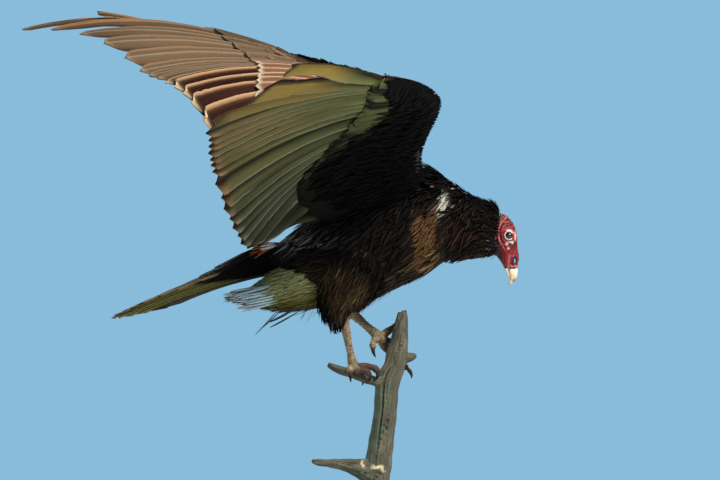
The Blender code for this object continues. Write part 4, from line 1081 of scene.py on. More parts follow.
# ---------------------------------------------------------------- coverts
def make_coverts(side, finish):
    """Rows of lesser coverts over the arm of a wing, above and below, longer towards the flight feathers."""
    fan = wing_fan(side)
    arm = Arm(side, fan)
    rng = np.random.default_rng(5 if side == "right" else 6)
    coat = Coat(f"coverts_{side}", finish, "coverts")
    stops = np.arange(len(arm.lead)) * 0.25
    chords = arm.end - arm.lead
    chord = np.linalg.norm(chords, axis=1)
    for face in (1, -1):
        part, row = -0.02, 0
        while part < (0.74 if face > 0 else 0.70):
            grown = soft_step(0.10, 0.8, np.array(part))
            line = arm.lead + chords * max(part, 0.0)
            gone_by = np.concatenate(((0.0,), np.cumsum(np.linalg.norm(np.diff(line, axis=0), axis=1))))
            count = int(gone_by[-1] / mix(0.0036, 0.0060, grown))
            places = (np.arange(count) + 0.5 * (row % 2) + rng.uniform(-0.35, 0.35, count)) \
                * gone_by[-1] / count
            station = np.interp(places, gone_by, stops)
            wide_chord = np.interp(station, stops, chord)
            parts = np.clip(part + rng.uniform(-0.02, 0.02, count), 0.0, 1.0)
            point, normal, along = arm.frame(station, parts, np.full((count, 1), float(face)))
            back = unit(np.stack([np.interp(station, stops, chords[:, i]) for i in range(3)], axis=1))
            along = unit(mix(along, back, 0.5 * soft_step(0.30, 0.02, parts)[:, None]))
            length = np.minimum(mix(0.015, 0.046, grown) * rng.uniform(0.8, 1.2, count), wide_chord * 0.45)
            length = length * (1 - 0.35 * (face > 0) * soft_step(0.4, 0.7, parts))
            width = mix(0.0030, 0.0060, grown) * rng.uniform(0.85, 1.15, count)
            along = unit(along + rng.normal(0, 0.06, (count, 3)))
            black = BLACK * rng.uniform(0.6, 1.4, (count, 1))
            s_of = station[:, None]
            if face < 0:
                spots = smooth_noise(point, 0.018, 7)[:, None] + 0.5 * rng.uniform(-1, 1, (count, 1))
                olive = soft_step(0.50, 0.62, np.full((count, 1), part)) * soft_step(8, 16, s_of) \
                    * soft_step(0.0, 0.4, spots)
                root_tint = black
                tip = mix(black, (0.085, 0.092, 0.036), olive)
                edge = mix(black * 1.4, (0.130, 0.140, 0.055), olive)
            else:
                pale = soft_step(0.35, 0.62, np.full((count, 1), part))
                brown = mix((0.020, 0.012, 0.008), (0.19, 0.095, 0.058),
                            pale * rng.uniform(0.5, 1.0, (count, 1)))
                root_tint, tip = brown * 0.6, brown * 0.9
                edge = mix(brown * 1.5, (0.62, 0.43, 0.30), pale * rng.uniform(0.4, 1.0, (count, 1)))
            # pinkish-brown edges on the upper coverts at the wrist's leading edge: partly wear, partly a
            # painted highlight where light catches the wing's top edge
            wear_and_highlight = bump_at(s_of, WRIST + 1, 4.5) * soft_step(0.14, 0.02, part) \
                * (rng.uniform(size=(count, 1)) < 0.35)
            edge = mix(edge, (0.30, 0.15, 0.11), wear_and_highlight * (face > 0))
            patch = np.stack((0.01 + 0.98 * station / HAND_END, 0.5 + face * (0.01 + 0.47 * parts)), axis=1)
            inset = np.minimum(0.0020, 0.45 * arm.half(station, parts, face))[:, None]
            flat = soft_step(0.0, 0.25, parts)
            coat.lay(point - normal * inset, along, normal, length, width, root_tint, tip, edge, patch,
                     rise=mix(0.05, 0.14 + 0.06 * (face > 0), flat), droop=mix(0.06, 0.09, flat),
                     curl=rng.uniform(-0.08, 0.08, count),
                     point=rng.uniform(2.5, 5.0, count), thick=0.05)
            part += mix(0.0045, 0.0090, grown) / float(np.max(chord)) * 1.15
            row += 1
    return coat


# ---------------------------------------------------------------- body feathers
CHEST_PATCH, CHEST_PATCH_SIZE = (0.092, -0.072, 0.508), (0.020, 0.05, 0.036)
GOLD_PATCH, GOLD_PATCH_SIZE = (0.108, -0.060, 0.478), (0.010, 0.04, 0.010)
WHITE_TUFT, WHITE_TUFT_SIZE = (0.116, -0.055, 0.5540), (0.0150, 0.03, 0.0260)
RUMP_DOWN, RUMP_DOWN_SIZE = (-0.074, -0.050, 0.507), (0.034, 0.05, 0.008)
RUFF = ((0.150, -0.004, 0.5220, 0.0440, 0.0360, -6, -10), (0.168, -0.007, 0.5215, 0.0435, 0.0340, -5, -12),
        (0.182, -0.010, 0.5198, 0.0413, 0.0320, -4, -13), (0.194, -0.0130, 0.5182, 0.0382, 0.0295, -3, -15),
        (0.2030, -0.0155, 0.5155, 0.0330, 0.0255, -3, -15))


def stain(points, centre, size):
    return np.exp(-np.sum(((points - np.array(centre)) / np.array(size)) ** 2, axis=-1))[..., None]


def round_patch(t, turn):
    """Place on an unrolled tube for each feather's patch on the bake map."""
    return np.stack((0.01 + 0.98 * (turn / (2 * math.pi) % 1.0), 0.01 + 0.98 * np.clip(t, 0, 1)), axis=1)


def chance(rng, n, share):
    return rng.uniform(size=(n, 1)) < share


def make_body_coat(finish):
    trunk = trunk_tube(BODY)
    rng = np.random.default_rng(1)
    coat = Coat("coat_body", finish, "plumage")
    for layer, spacing in enumerate((0.0058, 0.0066)):
        t, turn = trunk.rings_of(spacing, 0.0, 1.0, rng)
        point, normal, along = trunk.frame(t, turn)
        n = len(t)
        ahead = soft_step(0.55, 0.95, t)
        length = mix(0.036, 0.019, ahead) * rng.uniform(0.7, 1.3, n)
        width = mix(0.0036, 0.0022, ahead) * rng.uniform(0.7, 1.3, n) * (1.0 - 0.35 * layer)
        low = soft_step(0.500, 0.445, point[:, 2] - 0.10 * point[:, 0])
        fall = 0.26 + 0.20 * bump_at(t, 0.45, 0.2) + 1.0 * bump_at(t, 0.75, 0.13) - 0.26 * low
        sag = np.stack((0 * t, 0 * t, -fall), axis=1)
        way = unit(-along + sag + rng.normal(0, 0.12 + 0.06 * layer, (n, 3)))
        way = unit(way - normal * np.sum(way * normal, axis=-1, keepdims=True))
        shade = rng.uniform(0.4, 1.5, (n, 1))
        root, tip, edge = BLACK * shade, SOOT * shade, SOOT * 1.3 * shade
        under = soft_step(0.490, 0.440, point[:, 2:3] - 0.12 * point[:, :1])
        tip = mix(tip, np.array((0.034, 0.021, 0.009)) * shade, under * chance(rng, n, 0.6))
        edge = mix(edge, np.array((0.060, 0.036, 0.015)) * shade, under * chance(rng, n, 0.5))
        # brown feather edges on the chest's near side, painted as a pool of sunlight: partly the feathers'
        # colour, partly painted light
        brown = np.clip(stain(point, CHEST_PATCH, CHEST_PATCH_SIZE) * 2.6, 0, 1)
        brown = soft_step(0.25, 0.75, brown + 0.2 * smooth_noise(point, 0.012, 5)[:, None])
        root = mix(root, (0.030, 0.016, 0.009), brown)
        tip = mix(tip, np.array((0.125, 0.062, 0.026)) * rng.uniform(0.4, 1.3, (n, 1)), brown)
        edge = mix(edge, np.array((0.155, 0.080, 0.034)) * rng.uniform(0.5, 1.3, (n, 1)), brown)
        gold = np.clip(stain(point, GOLD_PATCH, GOLD_PATCH_SIZE) * 1.6, 0, 1) * chance(rng, n, 0.6)
        tip, edge = mix(tip, (0.30, 0.160, 0.050), gold), mix(edge, (0.52, 0.33, 0.14), gold)
        leant = point + (point[:, 2:3] - WHITE_TUFT[2]) * np.array((-0.45, 0, 0))
        white = soft_step(0.32, 0.52,
                          stain(leant, WHITE_TUFT, WHITE_TUFT_SIZE) * rng.uniform(0.6, 1.4, (n, 1)))
        grey = np.clip(stain(point, RUMP_DOWN, RUMP_DOWN_SIZE) * 1.2, 0, 1) * chance(rng, n, 0.45)
        for pale, colour in ((white, WHITE), (grey, (0.24, 0.245, 0.235))):
            colour = colour * rng.uniform(0.55, 1.1, (n, 1))
            root, tip, edge = mix(root, colour * 0.6, pale), mix(tip, colour, pale), mix(edge, colour, pale)
        way = unit(way + white * np.array((-0.30, 0, -1.1)))
        neck = soft_step(0.60, 0.72, t)[:, None] * soft_step(0.97, 0.86, t)[:, None]
        waver = 3.0 * smooth_noise(point, 0.02, 9)[:, None]
        bands = np.sin(point[:, :1] / 0.0021 + waver + point[:, 2:3] * 60)
        streak = soft_step(0.45, 0.95, bands) * chance(rng, n, 0.75) * neck \
            * soft_step(0.500, 0.515, point[:, 2:3]) \
            * soft_step(0.566, 0.552, point[:, 2:3] + 0.35 * (point[:, :1] - 0.15))
        edge = mix(edge, np.array((0.062, 0.023, 0.013)) * shade, streak)
        tip = mix(tip, np.array((0.045, 0.018, 0.011)) * shade, streak)
        fleck = chance(rng, n, 0.014) * neck
        tip, edge = mix(tip, CREAM * 0.8, fleck), mix(edge, CREAM * 0.6, fleck)
        small = 1 - np.maximum(0.40 * white, 0.45 * brown)[:, 0]
        thin = 1 - 0.45 * streak[:, 0]
        coat.lay(point - normal * 0.0060, way, normal, length * small / np.sqrt(thin), width * small * thin,
                 root, tip, edge, round_patch(t, turn), rise=mix(0.15, 0.32, ahead),
                 droop=mix(0.12, 0.20, ahead),
                 curl=rng.uniform(-0.16, 0.16, n), point=rng.uniform(1.2, 3.5, n), thick=0.04)
    lay_ruff(coat, rng)
    lay_rump(coat, rng)
    return coat


def lay_ruff(coat, rng):
    """Close rows of short feathers that rise behind the bare head, the foremost over its nape."""
    ruff = trunk_tube(RUFF)
    t, turn = ruff.rings_of(0.0024, 0.0, 1.0, rng)
    point, normal, along = ruff.frame(t, turn)
    n = len(t)
    way = unit(-along + rng.normal(0, 0.14, (n, 3)))
    shade = rng.uniform(0.4, 1.6, (n, 1))
    grey = soft_step(0.505, 0.492, point[:, 2:3]) * soft_step(0.480, 0.488, point[:, 2:3]) \
        * chance(rng, n, 0.25)
    tip = mix(SOOT * shade, (0.13, 0.15, 0.12), grey)
    coat.lay(point - normal * mix(0.0075, 0.0045, t)[:, None], way, normal, rng.uniform(0.013, 0.018, n),
             rng.uniform(0.0012, 0.0020, n), BLACK * shade, tip, tip * 1.2, round_patch(0.9 + 0.1 * t, turn),
             rise=0.30, droop=0.17, curl=rng.uniform(-0.2, 0.2, n), point=rng.uniform(1.2, 3.0, n),
             thick=0.05)


def lay_single(coat, tube, places, rng):
    """Feathers laid one by one on a tube. Each has its share along the tube, its turn in degrees from the
    top, how steeply it falls, its length, half width, root and tip colour, and how pointed it is."""
    for t, turn, fall, length, width, root_tint, tip_tint, point in places:
        t, turn = np.array([t]), np.radians(np.array([turn]))
        root, normal, along = tube.frame(t, turn)
        way = unit(along + np.array((0, 0, -fall)))
        coat.lay(root - normal * 0.004, way, normal, np.array([length]), width, root_tint, tip_tint,
                 mix(root_tint, tip_tint, 0.7), round_patch(t, turn), rise=0.10, droop=0.06,
                 curl=rng.uniform(-0.08, 0.08), point=point, thick=0.05)


def make_vent_coat(finish):
    """Smooth pale feathers under the tail, and the longer bluish and dark-tipped ones at their end."""
    vent = trunk_tube(VENT)
    rng = np.random.default_rng(2)
    coat = Coat("coat_vent", finish, "pale_down")
    for spacing, low, high, wide in ((0.0040, 0.018, 0.030, 0.0030), (0.0060, 0.024, 0.036, 0.0022)):
        t, turn = vent.rings_of(spacing, 0.0, 0.86, rng)
        point, normal, along = vent.frame(t, turn)
        n = len(t)
        length = rng.uniform(low, high, n) * (1 - 0.25 * t)
        way = unit(along + rng.normal(0, 0.07, (n, 3)))
        shade = rng.uniform(0.85, 1.1, (n, 1))
        # painted shade: feathers that face down are darker olive, and some of the lowest dark brown
        below = soft_step(0.3, -0.8, normal[:, 2:3])
        pale = mix((0.25, 0.255, 0.115), (0.135, 0.120, 0.030), below) * shade
        end = soft_step(0.50, 0.80, t)[:, None]
        pale = mix(pale, np.array((0.36, 0.44, 0.46)) * shade, end * chance(rng, n, 0.6) * (1 - 0.6 * below))
        brown = soft_step(-0.5, -0.9, normal[:, 2:3]) * chance(rng, n, 0.5)
        pale = mix(pale, np.array((0.060, 0.035, 0.014)) * shade, brown)
        dark = chance(rng, n, 0.10 + 0.25 * below) * end
        tip = mix(pale * 1.05, (0.012, 0.012, 0.012), dark)
        coat.lay(point - normal * 0.005, way, normal, length, rng.uniform(0.5, 1.0, n) * wide, pale * 0.92,
                 pale, mix(tip, pale, 0.3), round_patch(t, turn), rise=0.06, droop=0.045,
                 curl=rng.uniform(-0.10, 0.10, n), point=rng.uniform(1.6, 3.5, n), thick=0.04)
    blue, dark, olive = (0.38, 0.49, 0.53), (0.010, 0.010, 0.011), (0.16, 0.13, 0.04)
    for k in range(44):  # a loose bluish brush behind, dark at its lower edges
        share = rng.uniform()
        lay_single(coat, vent, [(0.42 + 0.16 * rng.uniform(), 300 - 75 * share, -0.20 + 0.45 * share,
                                 0.062 - 0.016 * share,
                                 0.0026, blue, blue if k % 4 else dark, rng.uniform(1.2, 2.4))], rng)
    lay_single(coat, vent, ((0.46, 205, 1.05, 0.052, 0.0034, olive, (0.016, 0.012, 0.007), 1.2),
                            (0.42, 212, 0.95, 0.044, 0.0024, (0.10, 0.11, 0.08), dark, 1.4),
                            (0.22, 200, 0.42, 0.056, 0.0060, dark, dark, 4.0),
                            (0.26, 215, 0.42, 0.050, 0.0044, (0.05, 0.07, 0.08), dark, 3.0),
                            (0.30, 300, 0.0, 0.010, 0.0030, dark, dark, 4.0)), rng)
    for k in range(14):  # thin dark wisps under its base
        lay_single(coat, vent, [(0.02 + 0.16 * rng.uniform(), rng.uniform(185, 235), rng.uniform(0.9, 1.7),
                                 rng.uniform(0.020, 0.034), 0.0007, dark, dark, 1.0)], rng)
    return coat


def thigh_tube(side):
    """The feathered thigh, begun a little way up inside the flank so that it swells out of it."""
    first, second = [Vector(p[:3]) for p in THIGHS[side][:2]]
    above = first - (second - first).normalized() * 0.036
    return limb_tube(((*above, 0.026),) + THIGHS[side])


def make_thigh_coat(side, finish):
    """Shaggy trousers of fine, hair-like feathers, black where they end."""
    thigh = thigh_tube(side)
    rng = np.random.default_rng(3 if side == "right" else 4)
    coat = Coat(f"coat_thigh_{side}", finish, "plumage")
    for spacing, start, low, high in ((0.0040, 0.05, 0.022, 0.036), (0.0046, 0.78, 0.014, 0.024)):
        t, turn = thigh.rings_of(spacing, start, 1.0, rng)
        point, normal, along = thigh.frame(t, turn)
        n = len(t)
        length = rng.uniform(low, high, n) * mix(1.0, 0.62, t)
        way = unit(along + np.array((-0.10, 0.0, -0.15)) + rng.normal(0, 0.10, (n, 3)))
        shade = rng.uniform(0.4, 1.5, (n, 1))
        lumps = soft_step(-0.3, 0.7, smooth_noise(point * np.array((1, 1, 0.4)), 0.011, 3))[:, None]
        olive = mix((0.026, 0.014, 0.007), (0.060, 0.045, 0.019), lumps)
        brown = mix(SOOT, olive, soft_step(0.30, 0.50, t)[:, None] * soft_step(1.0, 0.80, t)[:, None]) * shade
        rear = soft_step(-0.060, -0.072, point[:, :1] + 0.35 * (point[:, 2:3] - 0.42))
        brown = mix(brown, BLACK * shade, rear)
        wisps = chance(rng, n, 0.12) * soft_step(0.85, 0.95, t)[:, None]
        tip = mix(brown, (0.060, 0.080, 0.090), wisps)
        coat.lay(point - normal * 0.005, way, normal, length, rng.uniform(0.0008, 0.0021, n), brown * 0.6,
                 tip, tip * 1.4, round_patch(t, turn), rise=0.09, droop=0.07,
                 curl=rng.uniform(-0.20, 0.20, n), point=rng.uniform(0.9, 2.2, n), thick=0.06)
    return coat


# ---------------------------------------------------------------- skin
HEAD_RED = np.array((0.225, 0.008, 0.013))
DEEP_RED = np.array((0.075, 0.004, 0.007))
PINK = np.array((0.52, 0.105, 0.115))
PALE_WART = np.array((0.80, 0.66, 0.55))
LEG_FLESH = np.array((0.225, 0.170, 0.095))
SKIN_UNDER = np.array((0.005, 0.004, 0.004))


def make_skin(finish):
    trunk = trunk_tube(BODY)
    meshes = [bent_grid("trunk", 40, 60, lambda t, a: trunk.point(0.02 + 0.96 * t, a, -TRUNK_DEPTH))]
    vent = trunk_tube(VENT)
    meshes.append(bent_grid("vent", 28, 24, lambda t, a: vent.point(t * 0.72, a, -VENT_DEPTH)))
    for side, _ in SIDES:
        thigh = thigh_tube(side)
        meshes.append(bent_grid("thigh", 24, 30, lambda t, a: thigh.point(t * 0.98, a, -THIGH_DEPTH)))
        arm = Arm(side, wing_fan(side))

        def arm_shape(t, a):
            part = (1 - np.cos(a)) / 2
            face = np.where(a <= math.pi, 1.0, -1.0)[:, None]
            return arm.point(0.2 + t * 26.3, 0.07 + part * 0.72, face, ARM_SKIN)
        meshes.append(bent_grid("arm", 32, 90, arm_shape))
    body = fused("skin_body", meshes, BODY_VOXEL)

    skull = head_tube(HEAD)
    head = bent_grid("head", 72, 72, lambda t, a: skull.point(t, a))
    neck_end = trunk_tube(BODY[6:])
    neck = bent_grid("neck", 40, 24, lambda t, a: neck_end.point(t, a, -0.009 + 0.006 * t))
    nape_limb = limb_tube([(*head_place(x, 0, z), radius) for x, z, radius in NAPE])
    nape = bent_grid("nape", 32, 16, lambda t, a: nape_limb.girt(t, a, rounded_ends(t, 0.25)))
    head = fused("skin_head", [head, neck, nape], HEAD_VOXEL, 2)
    pierce_nostril(head)
    shape_head(head)

    legs = []
    for side, _ in SIDES:
        shank = limb_tube(SHANKS[side])
        legs.append(bent_grid("shank", 20, 40, lambda t, a: shank.point(t, a)))
        heel = SHANKS[side][-1][:3]
        for way in TOES[side].values():
            way = (heel,) + way
            radii = [TOE_RADIUS * 1.25] + [TOE_RADIUS + (TOE_END_RADIUS - TOE_RADIUS) * k / (len(way) - 2)
                                           for k in range(len(way) - 1)]
            limb = limb_tube([(*p, r) for p, r in zip(way, radii)])
            knuckles = lambda t: 1 + 0.10 * np.cos(t * 2 * math.pi * 2.5)
            girth = lambda t: rounded_ends(t, 0.10) * knuckles(t)
            legs.append(bent_grid("toe", 16, 30, lambda t, a: limb.girt(t, a, girth(t))))
    feet = fused("skin_feet", legs, FEET_VOXEL, 1)
    shape_feet(feet)

    mesh = gathered("skin", (body, head, feet))
    paint(mesh, skin_colours(coordinates(mesh), normals(mesh)))
    flesh = [n for n in NODES if n in ("belly", "chest", "neck", "vent", "head")
             or n.startswith(("thigh", "shank", "toe")) or n.endswith(("_arm", "_forearm", "_hand"))]
    add_piece("skin", mesh, finish, flesh)


def pierce_nostril(mesh):
    """The nostrils open through to each other."""
    bm = bmesh.new()
    bmesh.ops.create_uvsphere(bm, u_segments=32, v_segments=16, radius=1.0)
    slope = Matrix.Rotation(math.radians(8), 4, "Y")
    size = Matrix.Diagonal((NOSTRIL_HALF[0] * 1.05, 0.030, NOSTRIL_HALF[1] * 0.95, 1))
    place = Matrix.Translation(head_place(NOSTRIL_POINT[0], 0, NOSTRIL_POINT[1])) @ head_turn().to_4x4()
    bmesh.ops.transform(bm, matrix=place @ slope @ size, verts=bm.verts)
    cutter, head = new_object("nostril", mesh_of("nostril", bm)), new_object("head_core", mesh)
    cut = head.modifiers.new("open", "BOOLEAN")
    cut.operation, cut.object, cut.solver = "DIFFERENCE", cutter, "EXACT"
    bm = bmesh.new()
    bm.from_mesh(evaluated(head))
    bm.to_mesh(mesh)
    bm.free()
    bpy.data.objects.remove(cutter)
    bpy.data.objects.remove(head)


# The hood's edge against the ruff and the fold in front of it: height and distance ahead.
HOOD_EDGE = ((0.040, -0.0045), (0.034, -0.0045), (0.023, -0.0080), (0.0145, -0.0105), (0.0025, -0.0125),
             (-0.006, -0.0145), (-0.028, -0.0150))
HOOD_FOLD = ((0.030, 0.006), (0.0225, 0.0018), (0.017, -0.0040), (0.008, -0.0080), (0.000, -0.0090),
             (-0.010, -0.0062), (-0.018, -0.0010), (-0.026, 0.0030))


def ahead_of(h, line):
    """How far points lie ahead of a line given by heights and distances."""
    heights, places = np.array(sorted(line)).T
    return h[:, 0] - np.interp(h[:, 2], heights, places)


def head_folds(h, r):
    """Arcs of wrinkles that run over the crown and down behind the face: their height, and where they are."""
    x, z = h[:, 0], h[:, 2]
    ring = np.hypot(x - 0.0125, (z + 0.004) * 0.92)
    wave = (ring - 0.010) / HEAD_FOLDS + 1.3 * smooth_noise(h, 0.010, 2) + 0.8 * smooth_noise(h, 0.0035, 3)
    folds = np.sin(wave * math.pi) * (0.75 + 0.45 * smooth_noise(h, 0.006, 4))
    behind = soft_step(0.0105, 0.0135, r) * soft_step(-0.030, -0.012, z + 0.9 * x) \
        * soft_step(-0.008, -0.003, 0.008 - x + 0.6 * z)
    return folds, behind


def shape_head(mesh):
    """Brow, eye sockets, lids, wrinkles, nostril, cere and gape."""
    points, out = coordinates(mesh), normals(mesh)
    h = in_head(points)
    x, y, z = h[:, 0], np.abs(h[:, 1]), h[:, 2]
    side = np.sign(h[:, 1])
    # distance from the eye in the plane of the face
    ex, ez = x - EYE_POINT[0], z - EYE_POINT[1]
    r = np.hypot(ex, ez)
    facing = soft_step(0.004, 0.010, y)
    lift = np.zeros(len(points))
    lift += 0.0012 * bump_at(r, 0.0054, 0.0012) * facing            # lid ring
    lift -= 0.0014 * bump_at(r, 0.0078, 0.0009) * facing * soft_step(0.004, -0.002, ez + ex)
    lift += 0.0011 * bump_at(r, 0.0100, 0.0011) * facing * soft_step(0.004, -0.002, ez + ex)
    brow = bump_at(ez - 0.20 * ex, 0.0066, 0.0022) * soft_step(-0.008, 0.0, ex) * facing
    lift += 0.0019 * brow
    lift += 0.0016 * bump_at(ahead_of(h, HOOD_FOLD), 0.0, 0.0016)   # thick fold that edges the hood
    lift -= 0.0012 * bump_at(ahead_of(h, HOOD_FOLD), 0.0032, 0.0012)
    folds, behind = head_folds(h, r)
    lift += 0.00075 * folds * behind
    # cere: swollen round the nostril, and a rim above the bill
    nx, nz = x - NOSTRIL_POINT[0], z - NOSTRIL_POINT[1]
    nostril = np.hypot(nx / NOSTRIL_HALF[0], nz / NOSTRIL_HALF[1])
    lift += 0.0013 * bump_at(nostril, 1.9, 0.55)
    lift -= 0.0008 * bump_at(nostril, 3.0, 0.6)
    lift += 0.0010 * bump_at(z + 0.02 * x, -0.0440, 0.0016) * soft_step(0.002, 0.006, x)
    gape = bump_at(x - (0.0035 + 0.12 * (z + 0.045)), 0.0, 0.0010)
    lift -= 0.0010 * gape * soft_step(-0.020, -0.030, z)
    lift += 0.00050 * smooth_noise(h, 0.0028, 5) + 0.0003 * smooth_noise(h, 0.0014, 6)
    warts = np.clip(smooth_noise(h, 0.0022, 8) - 0.45, 0, 1)
    lift += 0.0012 * warts * soft_step(0.0085, 0.0120, r) * soft_step(0.022, 0.014, r) \
        * soft_step(0.002, -0.004, ez)
    keep = soft_step(-0.030, -0.018, x)
    points = points + out * (lift * keep)[:, None]
    # socket: push the skin inside the ball off it, back to the lids
    h = in_head(points)
    y = np.abs(h[:, 1])
    ex, ez = h[:, 0] - EYE_POINT[0], h[:, 2] - EYE_POINT[1]
    flat = np.hypot(ex * 0.94, ez * 1.12)
    hole = soft_step(0.0041, 0.0031, flat) * (y > 0.004)
    h[:, 1] = np.where(hole > 0, side * mix(y, np.minimum(y, EYE_ASIDE - 0.001), hole), h[:, 1])
    put_coordinates(mesh, h @ np.array(head_turn()).T + np.array(HEAD_POINT))


def shape_feet(mesh):
    """Scutes across the front of the shanks and toes, and small scales elsewhere."""
    points, out = coordinates(mesh), normals(mesh)
    scutes = np.sin(points[:, 2] / SCUTES * 2 * math.pi + 2.0 * smooth_noise(points, 0.02, 3))
    on_toes = np.sin((points[:, 0] + points[:, 1] * 0.5) / TOE_SCUTES * 2 * math.pi)
    shank = soft_step(0.326, 0.334, points[:, 2]) * soft_step(0.020, 0.012, points[:, 0]) \
        + soft_step(0.028, 0.020, points[:, 0]) * (points[:, 1] > 0)
    lift = 0.00035 * mix(on_toes, scutes, np.clip(shank, 0, 1)) + 0.0003 * smooth_noise(points, 0.0022, 4)
    put_coordinates(mesh, points + out * lift[:, None])


def skin_colours(points, out):
    h = in_head(points)
    x, y, z = h[:, 0], np.abs(h[:, 1]), h[:, 2]
    ex, ez = x - EYE_POINT[0], z - EYE_POINT[1]
    r = np.hypot(ex, ez)
    c1 = lambda m: np.clip(m, 0, 1)[:, None]
    colour = np.tile(SKIN_UNDER, (len(points), 1))
    # under the feathers it has the coat's own markings, darker as painted shade deep in the coat
    top = soft_step(-0.2, 0.4, out[:, 2:3]) * soft_step(0.09, 0.12, np.abs(points[:, 1:2]))
    colour = mix(colour, (0.045, 0.026, 0.017), top)
    low = soft_step(0.462, 0.448, points[:, 2:3])
    colour = layered(colour, (
        ((0.016, 0.010, 0.006), low),
        ((0.080, 0.080, 0.032), low * soft_step(-0.078, -0.094, points[:, :1]))))
    for centre, size, mark in ((CHEST_PATCH, CHEST_PATCH_SIZE, (0.040, 0.021, 0.010)),
                               (GOLD_PATCH, GOLD_PATCH_SIZE, (0.090, 0.050, 0.018)),
                               (WHITE_TUFT, WHITE_TUFT_SIZE, (0.20, 0.185, 0.15)),
                               (RUMP_DOWN, RUMP_DOWN_SIZE, (0.050, 0.050, 0.047))):
        colour = mix(colour, mark, np.clip(1.6 * stain(points, centre, size), 0, 1))
    # legs and feet
    feet = (points[:, 2] < 0.412) & (np.abs(x) < 0.5)
    flesh = LEG_FLESH * (1 + 0.45 * smooth_noise(points, 0.004, 2))[:, None]
    # painted shade: the toes of the near foot, and the forward toes of the far foot, dark reddish brown
    shaded_near_toes = soft_step(0.3300, 0.3240, points[:, 2]) * (points[:, 1] < -0.005) \
        * soft_step(-0.020, -0.010, points[:, 0])
    flesh = mix(flesh, (0.052, 0.020, 0.012), c1(shaded_near_toes + soft_step(0.034, 0.044, points[:, 0])))
    for side, sign in SIDES:  # a red streak down the front of each shank
        xs, _, zs, _ = np.array(sorted(SHANKS[side], key=lambda p: p[2])).T
        front = soft_step(-0.003, 0.002, points[:, 0] - np.interp(points[:, 2], zs, xs)) \
            * (points[:, 1] * sign > 0)
        front = front * soft_step(zs[0] + 0.006, zs[0] + 0.024, points[:, 2]) * 0.75
        patchy = soft_step(-0.4, 0.4, smooth_noise(points, 0.006, 8))
        flesh = mix(flesh, (0.26, 0.070, 0.050), c1(front * patchy))
    flesh = mix(flesh, (0.085, 0.060, 0.040),
                c1(soft_step(0.25, 0.75, smooth_noise(points, 0.0035, 9)) * 0.7))
    colour = np.where(feet[:, None], flesh, colour)
    # head
    mottle = 1 + 0.30 * smooth_noise(h, 0.005, 11) + 0.30 * smooth_noise(h, 0.002, 12)
    red = HEAD_RED * mottle[:, None]
    flat = h * np.array((1, 0, 1))
    facing = soft_step(0.004, 0.010, y)
    blot = lambda place, size: stain(flat, (place[0], 0, place[1]), (size[0], 1, size[1]))[:, 0] * facing
    dark, pale = (0.018, 0.009, 0.009), (0.80, 0.52, 0.47)
    folds, behind = head_folds(h, r)
    crown = soft_step(0.012, 0.024, z)
    red = layered(red, (
        ((0.16, 0.050, 0.030), crown * 0.9),
        # painted shade in the troughs of the wrinkles
        (dark, behind * soft_step(0.35, -0.45, folds) * soft_step(-0.022, 0.004, z) * 0.95),
        (mix(PINK, (0.34, 0.13, 0.095), c1(crown)), behind * soft_step(0.45, 1.0, folds) * 0.8)), c1)
    fold = ahead_of(h, HOOD_FOLD)
    on_hood = soft_step(0.034, 0.026, z) * soft_step(-0.022, -0.014, z)
    red = layered(red, (
        ((0.60, 0.13, 0.15), bump_at(fold, 0.0, 0.0013) * on_hood * 0.95),
        # painted shade in the groove in front of the hood's fold
        (dark, bump_at(fold, 0.0030, 0.0010) * on_hood * 0.95),
        ((0.16, 0.012, 0.016), bump_at(fold, -0.0026, 0.0012) * on_hood * 0.9)), c1)
    # painted shade: the throat and the skin low behind the face go near black
    shaded_throat = soft_step(-0.002, -0.010, fold) * soft_step(-0.004, -0.016, z)
    red = layered(red, (
        (DEEP_RED, soft_step(0.001, -0.007, x - 0.10 * (z + 0.03)) * soft_step(-0.004, -0.020, z)),
        ((0.022, 0.004, 0.006),
         np.maximum(shaded_throat, soft_step(-0.005, -0.012, x) * soft_step(-0.010, -0.020, z))),
        ((0.66, 0.27, 0.27), bump_at(x - 0.0071, 0, 0.0012) * soft_step(-0.024, -0.029, z) * 0.85)), c1)
    # painted highlight: a pale band on the brow over the eye, and a pale strip on its front side
    over = bump_at(np.hypot(ex + 0.0002, ez), 0.0068, 0.0016) * soft_step(0.001, 0.004, ez) \
        * soft_step(-0.006, -0.001, ex)
    red = layered(red, (
        ((0.84, 0.58, 0.52), over * facing * 1.2),
        ((0.52, 0.030, 0.040), 1.2 * blot((EYE_POINT[0] + 0.0056, EYE_POINT[1] - 0.0008), (0.0014, 0.0048))),
        (pale, 1.3 * blot((EYE_POINT[0] + 0.0092, EYE_POINT[1] - 0.0004), (0.0013, 0.0062))),
        ((0.27, 0.010, 0.018), 1.3 * bump_at(r, 0.0064, 0.0017) * facing * soft_step(0.0008, 0.0028, ex)
         * soft_step(0.0046, 0.0022, ez)),
        (dark, 1.3 * soft_step(0.0052, 0.0046, r) * facing)), c1)
    lower = soft_step(0.0020, -0.0020, ez + 0.9 * ex)
    red = layered(red, (
        ((0.86, 0.80, 0.74), 1.1 * bump_at(r, 0.0060, 0.0007) * facing * lower),
        (dark, 1.2 * bump_at(r, 0.0078, 0.0008) * facing * soft_step(0.004, -0.001, ez + 0.9 * ex)),
        (dark, 1.2 * blot((0.0160, -0.0125), (0.0022, 0.0048))),
        (dark, 1.2 * blot((0.0085, -0.0128), (0.0062, 0.0020))),
        (dark, blot((0.0110, -0.0180), (0.0030, 0.0028)) * 0.8)), c1)
    for place, size in (((0.0040, -0.0124), 0.0017), ((0.0115, -0.0106), 0.0017), ((0.0060, -0.0190), 0.0013),
                        ((0.0078, -0.0100), 0.0008)):
        red = mix(red, PALE_WART, c1(1.4 * blot(place, (size, size * 0.9))))
